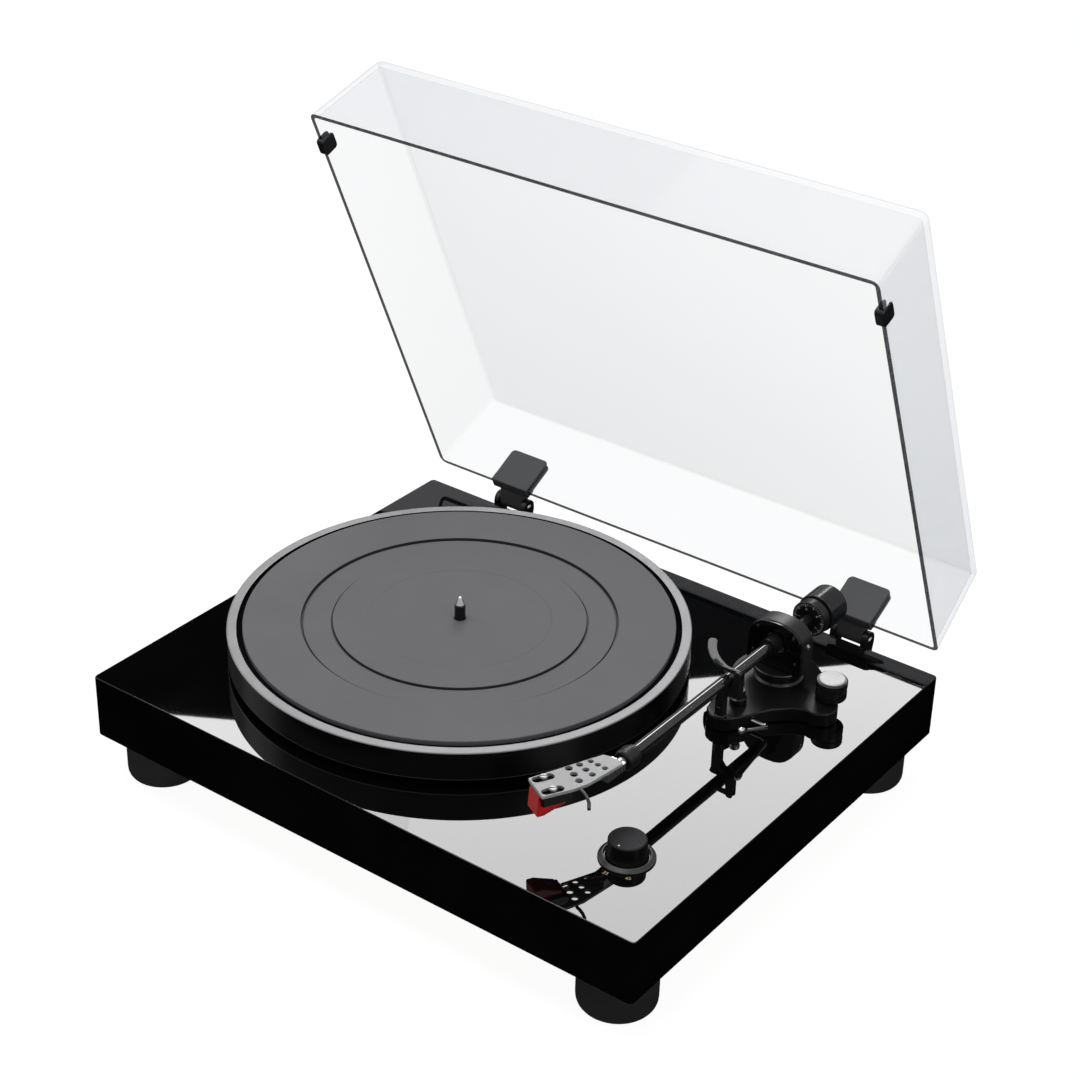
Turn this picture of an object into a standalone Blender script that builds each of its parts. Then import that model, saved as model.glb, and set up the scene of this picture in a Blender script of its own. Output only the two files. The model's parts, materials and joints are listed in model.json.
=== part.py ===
"""Belt-driven turntable record player with its clear lid standing open.

Deck frame used below: x from the left side of the plinth, y from its front face,
z from its top face, all in metres.  One empty moves the whole deck so that the
part stands on z = 0, centred left to right and front to back.
"""
import bmesh
import bpy
from math import acos, atan2, cos, pi, radians, sin
from mathutils import Vector

for old in list(bpy.data.objects):
    bpy.data.objects.remove(old, do_unlink=True)

MM = 0.001
GAP = 0.3 * MM

# plinth and feet
PLINTH_W = 420 * MM
PLINTH_D = 340 * MM
PLINTH_H = 43.8 * MM
PLINTH_CORNER = 3 * MM
PLINTH_EDGE = 0.8 * MM
TOP_SKIN = 16 * MM
WALL = 18 * MM
FOOT_BLOCK = 44 * MM
COVER_T = 3 * MM
COVER_LAP = 6 * MM
FOOT_R = 24.2 * MM
FOOT_H = 31.2 * MM
FOOT_INSET = 29.4 * MM
FOOT_ROUND = 6 * MM

# platter
PLATTER_X = 162.4 * MM
PLATTER_Y = 169.3 * MM
PLATTER_R = 149.4 * MM
PLATTER_TOP = 24.7 * MM
PLATTER_BOTTOM = 4.8 * MM
RIM_RING_W = 6.4 * MM
MAT_TOP = 26.2 * MM
MAT_MARGIN = 3.8 * MM
MAT_R = PLATTER_R - RIM_RING_W - MAT_MARGIN
MAT_SEAT = PLATTER_TOP - 2 * MM
SPINDLE_R = 3.6 * MM
SPINDLE_TIP = 41.5 * MM
SHAFT_R = 4 * MM
SUB_R = 62 * MM
SUB_TOP = 16.3 * MM

# motor
MOTOR_ANGLE = radians(135)
PULLEY_R = 8 * MM
MOTOR_REACH = 105 * MM
MOTOR_R = 18 * MM
BELT_T = 0.8 * MM
BELT_Z0 = 8 * MM
BELT_Z1 = 13 * MM

# tonearm
PIVOT_X = 345.8 * MM
PIVOT_Y = 263.8 * MM
PIVOT_Z = 37.8 * MM
TUBE_R = 4 * MM
OFFSET = radians(28)
BASE_T = 10 * MM
YOKE_W = 39.6 * MM
YOKE_FOOT = 19.1 * MM
YOKE_TOP = PIVOT_Z + 14.2 * MM
WINDOW_W = 24.8 * MM
BARREL_R = TUBE_R + 1.8 * MM
YOKE_D = 2 * (BARREL_R + 0.4 * MM)
COLLAR_R = TUBE_R + 2.3 * MM
PLATE_TOP = PIVOT_Z + 5.2 * MM
PLATE_T = 2 * MM
GUARD_BOTTOM = PLATE_TOP - 15.8 * MM
WEIGHT_R = 13 * MM
WEIGHT_DROP = 2.8 * MM
DIAL_R = 12 * MM
DIAL_FRONT = 296.6 * MM
WEIGHT_END = 323.5 * MM

# controls
KNOB_X = 372.2 * MM
KNOB_Y = 60.3 * MM
KNOB_TOP = 13.5 * MM
KNOB_R = 11.5 * MM
KNOB_FOOT_R = 12.8 * MM
BEZEL_R = 17 * MM
SKATE_X = 385.3 * MM
SKATE_Y = 262 * MM
SKATE_R = 10 * MM
SKATE_TOP = 23.3 * MM
LIFT_X = 342.5 * MM
LIFT_Y = 221.4 * MM
REST_X = PIVOT_X
REST_Y = 202 * MM

# lid
LID_W = PLINTH_W - 8.3 * MM
LID_REAR = PLINTH_D - 5.2 * MM
LID_D = LID_REAR - 4.2 * MM
LID_H = 64 * MM
LID_WALL = 3 * MM
LID_DRAFT = 5 * MM
LID_CORNER = 5 * MM
LID_RIM = 3 * MM
LID_OPEN = radians(66.4)
HINGE_Y = PLINTH_D + 8.3 * MM
HINGE_Z = 0.8 * MM
HINGE_SPREAD = 141 * MM
POCKET_W = 31.6 * MM
POCKET_H = 27.4 * MM

LID_BACK = HINGE_Y + (LID_RIM + LID_H - HINGE_Z) * sin(LID_OPEN) - (
    HINGE_Y - LID_REAR + LID_DRAFT
) * cos(LID_OPEN)
Y_MID = LID_BACK / 2
DECK_Z = PLINTH_H + FOOT_H

parts = bpy.data.collections.new("record_player")
bpy.context.scene.collection.children.link(parts)
tools = bpy.data.collections.new("cutting_shapes")
bpy.context.scene.collection.children.link(tools)
tools.hide_render = True

# ---------------------------------------------------------------- materials


def material(name, colour, rough, metal=0.0, clear=False):
    mat = bpy.data.materials.new(name)
    mat.use_nodes = True
    shader = mat.node_tree.nodes["Principled BSDF"]
    shader.inputs["Base Color"].default_value = (*colour, 1)
    shader.inputs["Roughness"].default_value = rough
    shader.inputs["Metallic"].default_value = metal
    if clear:
        shader.inputs["Transmission Weight"].default_value = 0.95
        shader.inputs["IOR"].default_value = 1.49
    return mat


LOOKS = {
    "piano_black": ((0.012, 0.012, 0.014), 0.08),
    "board_brown": ((0.18, 0.12, 0.07), 0.7),
    "foot_rubber": ((0.03, 0.03, 0.032), 0.6),
    "bearing_brass": ((0.72, 0.5, 0.2), 0.3, 1.0),
    "polished_steel": ((0.8, 0.8, 0.81), 0.12, 1.0),
    "black_steel": ((0.03, 0.03, 0.032), 0.25, 0.6),
    "grey_plastic": ((0.15, 0.15, 0.16), 0.5),
    "platter_metal": ((0.6, 0.6, 0.61), 0.35, 1.0),
    "mat_rubber": ((0.12, 0.12, 0.125), 0.75),
    "belt_rubber": ((0.02, 0.02, 0.02), 0.55),
    "motor_can": ((0.5, 0.5, 0.52), 0.4, 1.0),
    "satin_black": ((0.02, 0.02, 0.022), 0.32),
    "gloss_black": ((0.012, 0.012, 0.013), 0.12),
    "matte_black": ((0.025, 0.025, 0.027), 0.55),
    "satin_silver": ((0.62, 0.62, 0.63), 0.3, 1.0),
    "shell_silver": ((0.55, 0.55, 0.56), 0.38, 0.9),
    "guard_red": ((0.45, 0.012, 0.03), 0.2),
    "diamond_grey": ((0.6, 0.6, 0.65), 0.2, 0.8),
    "knob_grey": ((0.06, 0.06, 0.065), 0.4),
    "bezel_grey": ((0.09, 0.09, 0.095), 0.35),
    "clear_acrylic": ((0.96, 0.98, 1.0), 0.02, 0.0, True),
    "hinge_grey": ((0.09, 0.09, 0.095), 0.5),
    "white_ring": ((0.8, 0.8, 0.78), 0.4),
    "red_ring": ((0.5, 0.02, 0.02), 0.4),
    "gold_metal": ((0.8, 0.6, 0.25), 0.25, 1.0),
}


def look(key, name):
    return material(f"{name}_{key}", *LOOKS[key])


# ---------------------------------------------------------------- helpers


def empty(name, at, parent=None, turn=0.0):
    obj = bpy.data.objects.new(name, None)
    parts.objects.link(obj)
    obj.location = at
    obj.rotation_euler = (turn, 0, 0)
    obj.parent = parent
    return obj


deck = empty("deck", (-PLINTH_W / 2, -Y_MID, DECK_Z))


def place(obj, parent, at, turn=(0, 0, 0)):
    obj.parent = parent
    obj.location = at
    obj.rotation_euler = turn


def add(name, data, key, parent, at, turn=(0, 0, 0)):
    obj = bpy.data.objects.new(name, data)
    parts.objects.link(obj)
    if key:
        data.materials.append(look(key, name))
    place(obj, parent, at, turn)
    return obj


def bevel(obj, width, segments=2, angle=radians(35)):
    mod = obj.modifiers.new("edge", "BEVEL")
    mod.width = width
    mod.segments = segments
    mod.limit_method = "ANGLE"
    mod.angle_limit = angle
    return mod


def mesh_of(bm, name):
    bmesh.ops.recalc_face_normals(bm, faces=bm.faces)
    if bm.calc_volume(signed=True) < 0:
        bmesh.ops.reverse_faces(bm, faces=bm.faces)
    mesh = bpy.data.meshes.new(name)
    bm.to_mesh(mesh)
    bm.free()
    return mesh


def box_bm(bm, lo, hi):
    size = [b - a for a, b in zip(lo, hi)]
    made = bmesh.ops.create_cube(bm, size=1.0)["verts"]
    for vert in made:
        for i in range(3):
            vert.co[i] = (vert.co[i] + 0.5) * size[i] + lo[i]
    return made


def rod_bm(bm, centre, axis, radius, half, steps=24):
    made = bmesh.ops.create_cone(
        bm, cap_ends=True, segments=steps, radius1=radius, radius2=radius, depth=2 * half
    )["verts"]
    if axis == "Y":
        for vert in made:
            vert.co = Vector((vert.co.x, -vert.co.z, vert.co.y))
    if axis == "X":
        for vert in made:
            vert.co = Vector((vert.co.z, vert.co.y, -vert.co.x))
    for vert in made:
        vert.co += Vector(centre)
    return made


def box(name, lo, hi, key, parent=None, edge=0.0, at=(0, 0, 0)):
    bm = bmesh.new()
    box_bm(bm, lo, hi)
    obj = add(name, mesh_of(bm, name), key, parent or deck, at)
    if edge:
        bevel(obj, edge)
    return obj


def cutter(name, bm, parent=None, at=(0, 0, 0), turn=(0, 0, 0)):
    obj = bpy.data.objects.new(name, mesh_of(bm, name))
    tools.objects.link(obj)
    obj.display_type = "WIRE"
    obj.hide_render = True
    place(obj, parent or deck, at, turn)
    return obj


def cut(obj, tool, kind="DIFFERENCE"):
    mod = obj.modifiers.new(kind.lower(), "BOOLEAN")
    mod.operation = kind
    mod.solver = "EXACT"
    mod.object = tool
    return mod


def turned(name, points, key, parent, at, steps=32, turn=(0, 0, 0), ring=False):
    """Round piece from (radius, height) points listed down its outer side."""
    bm = bmesh.new()
    verts = [bm.verts.new((r, 0, z)) for r, z in points]
    for a, b in zip(verts, verts[1:]):
        bm.edges.new((a, b))
    if ring:
        bm.edges.new((verts[-1], verts[0]))
    mesh = bpy.data.meshes.new(name)
    bm.to_mesh(mesh)
    bm.free()
    obj = add(name, mesh, key, parent, at, turn)
    mod = obj.modifiers.new("turn", "SCREW")
    mod.angle = 2 * pi
    mod.steps = steps
    mod.render_steps = steps
    mod.use_merge_vertices = True
    mod.merge_threshold = 1e-6
    mod.use_smooth_shade = True
    return obj


def arc(cx, cy, radius, start, end, steps):
    span = end - start
    return [
        (cx + radius * cos(start + span * i / steps), cy + radius * sin(start + span * i / steps))
        for i in range(steps + 1)
    ]


def rounded_rect(x0, y0, x1, y1, radius, steps=4):
    corners = [
        (x1 - radius, y0 + radius, -pi / 2),
        (x1 - radius, y1 - radius, 0),
        (x0 + radius, y1 - radius, pi / 2),
        (x0 + radius, y0 + radius, pi),
    ]
    outline = []
    for cx, cy, start in corners:
        outline += arc(cx, cy, radius, start, start + pi / 2, steps)
    return outline


def circle(cx, cy, radius, steps=16):
    return arc(cx, cy, radius, 0, 2 * pi, steps)[:-1]


def slab_bm(bm, outline, z0, z1):
    face = bm.faces.new([bm.verts.new((x, y, z0)) for x, y in outline])
    grown = bmesh.ops.extrude_face_region(bm, geom=[face])["geom"]
    for item in grown:
        if isinstance(item, bmesh.types.BMVert):
            item.co.z = z1


def slab(name, outline, z0, z1, key, parent=None, at=(0, 0, 0), turn=(0, 0, 0), edge=0.0):
    bm = bmesh.new()
    slab_bm(bm, outline, z0, z1)
    obj = add(name, mesh_of(bm, name), key, parent or deck, at, turn)
    if edge:
        bevel(obj, edge, segments=1)
    return obj


def sheet(name, loops, z0, z1, key, parent, at):
    """Flat plate from an outline and the outlines of its holes."""
    curve = bpy.data.curves.new(name, "CURVE")
    curve.dimensions = "2D"
    curve.fill_mode = "BOTH"
    curve.extrude = (z1 - z0) / 2
    for loop in loops:
        spline = curve.splines.new("POLY")
        spline.points.add(len(loop) - 1)
        for point, (x, y) in zip(spline.points, loop):
            point.co = (x, y, 0, 1)
        spline.use_cyclic_u = True
    x, y, z = at
    return add(name, curve, key, parent, (x, y, z + (z0 + z1) / 2))


def rod(name, points, radius, key, parent, at, radii=None, sides=3):
    """Round wire through the points, thicker where radii says so."""
    curve = bpy.data.curves.new(name, "CURVE")
    curve.dimensions = "3D"
    curve.bevel_depth = radius
    curve.bevel_resolution = sides
    curve.use_fill_caps = True
    spline = curve.splines.new("POLY")
    spline.points.add(len(points) - 1)
    for i, (x, y, z) in enumerate(points):
        spline.points[i].co = (x, y, z, 1)
        spline.points[i].radius = radii[i] if radii else 1.0
    return add(name, curve, key, parent, at)


def loft(name, loops, key, parent, at):
    """Closed skin through equal outlines; the first and last are capped."""
    bm = bmesh.new()
    rings = [[bm.verts.new(p) for p in loop] for loop in loops]
    count = len(rings[0])
    for low, high in zip(rings, rings[1:]):
        for i in range(count):
            j = (i + 1) % count
            bm.faces.new((low[i], low[j], high[j], high[i]))
    bm.faces.new(rings[0])
    bm.faces.new(rings[-1])
    return add(name, mesh_of(bm, name), key, parent, at)


Y_AXIS = (-pi / 2, 0, 0)

# ---------------------------------------------------------------- plinth and feet


def cross_outline(grow):
    x0, x1 = WALL - grow, PLINTH_W - WALL + grow
    y0, y1 = WALL - grow, PLINTH_D - WALL + grow
    b = FOOT_BLOCK - grow
    xa, xb = b, PLINTH_W - b
    ya, yb = b, PLINTH_D - b
    return [
        (xa, y0), (xb, y0), (xb, ya), (x1, ya), (x1, yb), (xb, yb),
        (xb, y1), (xa, y1), (xa, yb), (x0, yb), (x0, ya), (xa, ya),
    ]


motor_x = PLATTER_X + MOTOR_REACH * cos(MOTOR_ANGLE)
motor_y = PLATTER_Y + MOTOR_REACH * sin(MOTOR_ANGLE)

plinth = slab(
    "plinth",
    rounded_rect(0, 0, PLINTH_W, PLINTH_D, PLINTH_CORNER),
    -PLINTH_H,
    0,
    "piano_black",
)
bevel(plinth, PLINTH_EDGE, segments=2, angle=radians(60))

PANEL_X0 = PLINTH_W / 2 - HINGE_SPREAD + 41 * MM
PANEL_X1 = PANEL_X0 + 100 * MM
PANEL_Z0, PANEL_Z1 = -36 * MM, -12 * MM

pocket = bmesh.new()
slab_bm(pocket, cross_outline(0), -PLINTH_H - 2 * MM, -TOP_SKIN)
cut(plinth, cutter("pocket_cut", pocket))
rebate = bmesh.new()
slab_bm(rebate, cross_outline(COVER_LAP), -PLINTH_H - 2 * MM, -PLINTH_H + COVER_T + GAP)
cut(plinth, cutter("rebate_cut", rebate))
bores = bmesh.new()
for x, y, radius in (
    (PLATTER_X, PLATTER_Y, 12 * MM),
    (motor_x, motor_y, MOTOR_R + 1.5 * MM),
    (PIVOT_X, PIVOT_Y, 9 * MM),
    (KNOB_X, KNOB_Y, 6 * MM),
):
    rod_bm(bores, (x, y, -TOP_SKIN / 2), "Z", radius, TOP_SKIN / 2 + 2 * MM, 32)
cut(plinth, cutter("top_bores", bores))
rear = bmesh.new()
box_bm(
    rear,
    (PANEL_X0 + 6 * MM, PLINTH_D - WALL - 1 * MM, PANEL_Z0 + 3 * MM),
    (PANEL_X1 - 6 * MM, PLINTH_D + 1 * MM, PANEL_Z1 - 3 * MM),
)
cut(plinth, cutter("rear_window", rear))
recess = bmesh.new()
box_bm(
    recess,
    (PANEL_X0 - GAP, PLINTH_D - 2.3 * MM, PANEL_Z0 - GAP),
    (PANEL_X1 + GAP, PLINTH_D + 1 * MM, PANEL_Z1 + GAP),
)
cut(plinth, cutter("rear_recess", recess))

slab(
    "bottom_cover",
    cross_outline(COVER_LAP - GAP),
    -PLINTH_H,
    -PLINTH_H + COVER_T,
    "board_brown",
)

foot_profile = [(0, -GAP), (FOOT_R - 1 * MM, -GAP), (FOOT_R, -GAP - 1 * MM)]
for step in range(5):
    a = pi / 2 * step / 4
    foot_profile.append(
        (FOOT_R - FOOT_ROUND + FOOT_ROUND * cos(a), -FOOT_H + FOOT_ROUND - FOOT_ROUND * sin(a))
    )
foot_profile += [(7 * MM, -FOOT_H), (7 * MM, -FOOT_H + 6 * MM), (0, -FOOT_H + 6 * MM)]
for row, fy in (("front", FOOT_INSET), ("rear", PLINTH_D - FOOT_INSET)):
    for side, fx in (("left", FOOT_INSET), ("right", PLINTH_W - FOOT_INSET)):
        turned(
            f"foot_{row}_{side}",
            foot_profile,
            "foot_rubber",
            deck,
            (fx, fy, -PLINTH_H),
            steps=24,
        )

# ---------------------------------------------------------------- platter and drive

platter_turn = empty("platter_turn", (PLATTER_X, PLATTER_Y, 0), deck)

bore = SHAFT_R + GAP
turned(
    "bearing_housing",
    [
        (bore, 3 * MM), (17 * MM, 3 * MM), (20 * MM, 2.4 * MM), (20 * MM, GAP),
        (11.7 * MM, GAP), (11.7 * MM, -30 * MM), (0, -30 * MM), (0, -26 * MM),
        (bore, -26 * MM),
    ],
    "bearing_brass",
    deck,
    (PLATTER_X, PLATTER_Y, 0),
    steps=24,
    ring=True,
)
turned(
    "spindle",
    [
        (0, SPINDLE_TIP), (0.6 * MM, SPINDLE_TIP - 0.2 * MM), (SPINDLE_R, 36 * MM),
        (SPINDLE_R, 18 * MM), (SHAFT_R, 17.4 * MM), (SHAFT_R, -24 * MM),
        (2 * MM, -25.7 * MM), (0, -25.7 * MM),
    ],
    "polished_steel",
    platter_turn,
    (0, 0, 0),
    steps=24,
)
turned(
    "sub_platter",
    [
        (bore, SUB_TOP), (10 * MM, SUB_TOP), (11 * MM, 9 * MM), (SUB_R - 5 * MM, 9 * MM),
        (SUB_R - 5 * MM, SUB_TOP), (SUB_R - 0.6 * MM, SUB_TOP), (SUB_R, SUB_TOP - 0.6 * MM),
        (SUB_R, 5.5 * MM), (SUB_R - 4 * MM, 5.5 * MM), (SUB_R - 5 * MM, 6.5 * MM),
        (12 * MM, 6.5 * MM), (10 * MM, 4 * MM), (bore, 4 * MM),
    ],
    "grey_plastic",
    platter_turn,
    (0, 0, 0),
    steps=40,
    ring=True,
)
hole = SPINDLE_R + GAP
skirt = PLATTER_R - 11 * MM
turned(
    "platter",
    [
        (SHAFT_R + 0.5 * MM, MAT_SEAT), (MAT_R + MAT_MARGIN, MAT_SEAT),
        (MAT_R + MAT_MARGIN, PLATTER_TOP), (PLATTER_R - 0.7 * MM, PLATTER_TOP),
        (PLATTER_R, PLATTER_TOP - 0.7 * MM), (PLATTER_R, PLATTER_BOTTOM),
        (skirt, PLATTER_BOTTOM), (skirt - 3 * MM, 17.6 * MM), (SUB_R + 6 * MM, 17.6 * MM),
        (SUB_R + 4 * MM, SUB_TOP + GAP), (SHAFT_R + 0.5 * MM, SUB_TOP + GAP),
    ],
    "platter_metal",
    platter_turn,
    (0, 0, 0),
    steps=64,
    ring=True,
)
mat_low = MAT_SEAT + GAP
CHANNEL = (82 * MM, 101.8 * MM)
channel_z = MAT_TOP - 1.3 * MM
mat_profile = [
    (hole, MAT_TOP - 0.3 * MM), (58.5 * MM, MAT_TOP - 0.3 * MM), (60.5 * MM, MAT_TOP),
    (CHANNEL[0] - 0.3 * MM, MAT_TOP), (CHANNEL[0], channel_z),
    (CHANNEL[1], channel_z), (CHANNEL[1] + 0.3 * MM, MAT_TOP),
    (MAT_R - 0.6 * MM, MAT_TOP), (MAT_R, MAT_TOP - 0.6 * MM), (MAT_R, mat_low), (hole, mat_low),
]
turned("platter_mat", mat_profile, "mat_rubber", platter_turn, (0, 0, 0), steps=64, ring=True)


def belt_loop(extra):
    """Outline of a belt around the sub-platter and the pulley."""
    big, small = SUB_R + extra, PULLEY_R + extra
    lean = acos((big - small) / MOTOR_REACH)
    loop = arc(PLATTER_X, PLATTER_Y, big, MOTOR_ANGLE + lean, MOTOR_ANGLE + 2 * pi - lean, 40)
    loop += arc(motor_x, motor_y, small, MOTOR_ANGLE - lean, MOTOR_ANGLE + lean, 12)
    return loop


sheet(
    "drive_belt",
    [belt_loop(GAP + BELT_T), belt_loop(GAP)],
    BELT_Z0,
    BELT_Z1,
    "belt_rubber",
    deck,
    (0, 0, 0),
)

motor_turn = empty("motor_turn", (motor_x, motor_y, 0), deck)
sheet(
    "motor_plate",
    [circle(0, 0, 30 * MM, 36), circle(0, 0, 5 * MM, 16)],
    GAP,
    2.2 * MM,
    "black_steel",
    deck,
    (motor_x, motor_y, 0),
)
turned(
    "motor",
    [
        (1.6 * MM, -0.2 * MM), (4 * MM, -0.2 * MM), (4 * MM, -1 * MM), (MOTOR_R - 1 * MM, -1 * MM),
        (MOTOR_R, -2 * MM), (MOTOR_R, -26 * MM), (MOTOR_R - 1 * MM, -27 * MM), (0, -27 * MM),
        (0, -20 * MM), (1.6 * MM, -20 * MM),
    ],
    "motor_can",
    deck,
    (motor_x, motor_y, 0),
    steps=24,
    ring=True,
)
turned(
    "motor_pulley",
    [
        (0, 15.5 * MM), (3 * MM, 15.5 * MM), (3 * MM, 14.2 * MM), (PULLEY_R + 1.2 * MM, 14.2 * MM),
        (PULLEY_R + 1.2 * MM, 13.6 * MM), (PULLEY_R, 13.4 * MM), (PULLEY_R, 7.4 * MM),
        (PULLEY_R + 1.2 * MM, 7 * MM), (PULLEY_R + 1.2 * MM, 6 * MM), (3 * MM, 6 * MM),
        (3 * MM, 4 * MM), (1.3 * MM, 4 * MM), (1.3 * MM, -19 * MM), (0, -19 * MM),
    ],
    "bearing_brass",
    motor_turn,
    (0, 0, 0),
    steps=16,
)

# ---------------------------------------------------------------- arm base

base_outline = arc(PIVOT_X, PIVOT_Y, 30 * MM, radians(75), radians(200), 12)
base_outline += arc(340.7 * MM, 208.8 * MM, 11 * MM, radians(182), radians(330), 8)
base_outline += [(353.5 * MM, 208 * MM), (357.5 * MM, 216 * MM), (364 * MM, 227 * MM)]
base_outline += [(373 * MM, 236 * MM)]
base_outline += arc(385 * MM, 250.5 * MM, 11 * MM, radians(-112), radians(35), 8)
base_outline += [(390.5 * MM, 262 * MM), (386 * MM, 268 * MM), (366 * MM, 284 * MM)]
arm_base = slab("arm_base", base_outline, GAP, BASE_T, "satin_black", edge=0.8 * MM)
base_holes = bmesh.new()
rod_bm(base_holes, (PIVOT_X, PIVOT_Y, BASE_T / 2), "Z", 6 * MM, 8 * MM, 24)
rod_bm(base_holes, (SKATE_X, SKATE_Y, BASE_T), "Z", 3.3 * MM, 6 * MM, 16)
cut(arm_base, cutter("base_bores", base_holes))
lever_hole = bmesh.new()
rod_bm(lever_hole, (356 * MM, 216 * MM, 5 * MM), "X", 1.8 * MM, 9 * MM, 16)
cut(arm_base, cutter("lever_bore", lever_hole))

turned(
    "turret",
    [
        (4.3 * MM, 18.7 * MM), (16 * MM, 18.7 * MM), (16.6 * MM, 18.1 * MM), (16.6 * MM, 15.8 * MM),
        (14.6 * MM, 15 * MM), (14.6 * MM, 11.6 * MM), (16 * MM, BASE_T + GAP),
        (5.6 * MM, BASE_T + GAP), (5.6 * MM, -19 * MM), (4.3 * MM, -19 * MM),
    ],
    "satin_black",
    deck,
    (PIVOT_X, PIVOT_Y, 0),
    steps=32,
    ring=True,
)

# ---------------------------------------------------------------- tonearm

swing = empty("arm_swing", (PIVOT_X, PIVOT_Y, 0), deck)
lift = empty("arm_lift", (0, 0, PIVOT_Z), swing)


def local(x, y, z):
    """Deck point seen from the tilting part of the arm."""
    return (x - PIVOT_X, y - PIVOT_Y, z - PIVOT_Z)


turned(
    "pivot_shaft",
    [(0, YOKE_FOOT - GAP), (4 * MM, YOKE_FOOT - GAP), (4 * MM, -22 * MM), (0, -22 * MM)],
    "polished_steel",
    swing,
    (0, 0, 0),
    steps=20,
)


def arch(width, foot, top, rise, steps=12):
    """Arch outline in x and z, standing on its foot."""
    half = width / 2
    outline = [(-half, foot), (half, foot)]
    for i in range(steps + 1):
        a = pi * i / steps
        outline.append(
            (half * abs(cos(a)) ** 0.8 * (1 if a < pi / 2 else -1), top - rise + rise * sin(a) ** 0.9)
        )
    return outline


STAND = (pi / 2, 0, 0)
yoke = slab(
    "gimbal_yoke",
    arch(YOKE_W, YOKE_FOOT, YOKE_TOP, 16 * MM),
    -YOKE_D / 2,
    YOKE_D / 2,
    "satin_black",
    parent=swing,
    turn=STAND,
    edge=0.5 * MM,
)
window = bmesh.new()
half_window = WINDOW_W / 2
box_bm(
    window,
    (-half_window, -YOKE_D, PIVOT_Z - BARREL_R - 3 * MM),
    (half_window, YOKE_D, PIVOT_Z + BARREL_R + 1.2 * MM),
)
cut(yoke, cutter("yoke_window", window, swing))
screw_holes = bmesh.new()
rod_bm(screw_holes, (0, 0, PIVOT_Z), "X", 2.5 * MM, YOKE_W, 16)
cut(yoke, cutter("yoke_screw_holes", screw_holes, swing))

COVER_FRONT = -YOKE_D / 2 - 1.8 * MM
cover_hole = circle(0, PIVOT_Z + 0.8 * MM, COLLAR_R + 1.6 * MM, 28)
face = sheet(
    "gimbal_cover",
    [arch(YOKE_W - 0.6 * MM, YOKE_FOOT, YOKE_TOP - 0.3 * MM, 16 * MM), cover_hole],
    0,
    1.5 * MM,
    "gloss_black",
    swing,
    (0, 0, 0),
)
face.location = (0, COVER_FRONT + 0.75 * MM, 0)
face.rotation_euler = STAND

for side, sign in (("left", -1), ("right", 1)):
    turned(
        f"pivot_screw_{side}",
        [
            (0, 20.6 * MM), (1 * MM, 20.6 * MM), (1 * MM, 20.1 * MM), (2.2 * MM, 20.1 * MM),
            (2.2 * MM, 13.6 * MM), (1.1 * MM, 12.5 * MM), (1.1 * MM, 10.8 * MM), (0, 10.3 * MM),
        ],
        "satin_silver",
        swing,
        (0, 0, PIVOT_Z),
        steps=16,
        turn=(0, sign * pi / 2, 0),
    )

barrel_bm = bmesh.new()
rod_bm(barrel_bm, (0, 0, 0), "X", BARREL_R, WINDOW_W / 2 - 0.4 * MM, 28)
barrel = add("gimbal_barrel", mesh_of(barrel_bm, "gimbal_barrel"), "gloss_black", lift, (0, 0, 0))
collar_bm = bmesh.new()
rod_bm(collar_bm, (0, -9.5 * MM, 0), "Y", COLLAR_R - 0.6 * MM, 7 * MM, 28)
collar = cutter("barrel_collar", collar_bm, lift)
cut(barrel, collar, "UNION")
through = bmesh.new()
rod_bm(through, (0, 0, 0), "Y", TUBE_R + GAP, 30 * MM, 24)
cut(barrel, cutter("barrel_bore", through, lift))
socket = bmesh.new()
for sign in (-1, 1):
    rod_bm(socket, (sign * 11.4 * MM, 0, 0), "X", 1.6 * MM, 1.7 * MM, 16)
cut(barrel, cutter("barrel_sockets", socket, lift))

TUBE_FRONT = 97.6 * MM
TUBE_END = 272 * MM
turned(
    "arm_tube",
    [
        (0, TUBE_END - PIVOT_Y), (TUBE_R, TUBE_END - PIVOT_Y),
        (TUBE_R, TUBE_FRONT - PIVOT_Y), (0, TUBE_FRONT - PIVOT_Y),
    ],
    "gloss_black",
    lift,
    (0, 0, 0),
    steps=24,
    turn=Y_AXIS,
)
stub = TUBE_END - PIVOT_Y + GAP
turned(
    "counterweight_shaft",
    [
        (0, WEIGHT_END + 1.5 * MM - PIVOT_Y), (3.2 * MM, WEIGHT_END + 1.5 * MM - PIVOT_Y),
        (3.6 * MM, WEIGHT_END + 1 * MM - PIVOT_Y), (3.6 * MM, stub + 4 * MM),
        (6 * MM, stub + 4 * MM), (6.4 * MM, stub), (0, stub),
    ],
    "black_steel",
    lift,
    (0, 0, -WEIGHT_DROP),
    steps=24,
    turn=Y_AXIS,
)
dial_y = DIAL_FRONT - PIVOT_Y
weight_y = dial_y + 8.4 * MM
weight_end = WEIGHT_END - PIVOT_Y
hub = 3.6 * MM + GAP
turned(
    "counterweight",
    [
        (hub, weight_end), (WEIGHT_R - 0.8 * MM, weight_end), (WEIGHT_R, weight_end - 0.8 * MM),
        (WEIGHT_R, weight_y + 0.8 * MM), (WEIGHT_R - 0.8 * MM, weight_y), (hub, weight_y),
    ],
    "satin_black",
    lift,
    (0, 0, -WEIGHT_DROP),
    steps=32,
    turn=Y_AXIS,
    ring=True,
)
turned(
    "balance_dial",
    [
        (hub, weight_y - GAP), (DIAL_R - 1.2 * MM, weight_y - GAP),
        (DIAL_R - 1.2 * MM, weight_y - 1.6 * MM), (DIAL_R, weight_y - 1.8 * MM),
        (DIAL_R, dial_y + 0.6 * MM), (DIAL_R - 0.6 * MM, dial_y), (hub, dial_y),
    ],
    "satin_black",
    lift,
    (0, 0, -WEIGHT_DROP),
    steps=32,
    turn=Y_AXIS,
    ring=True,
)

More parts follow.
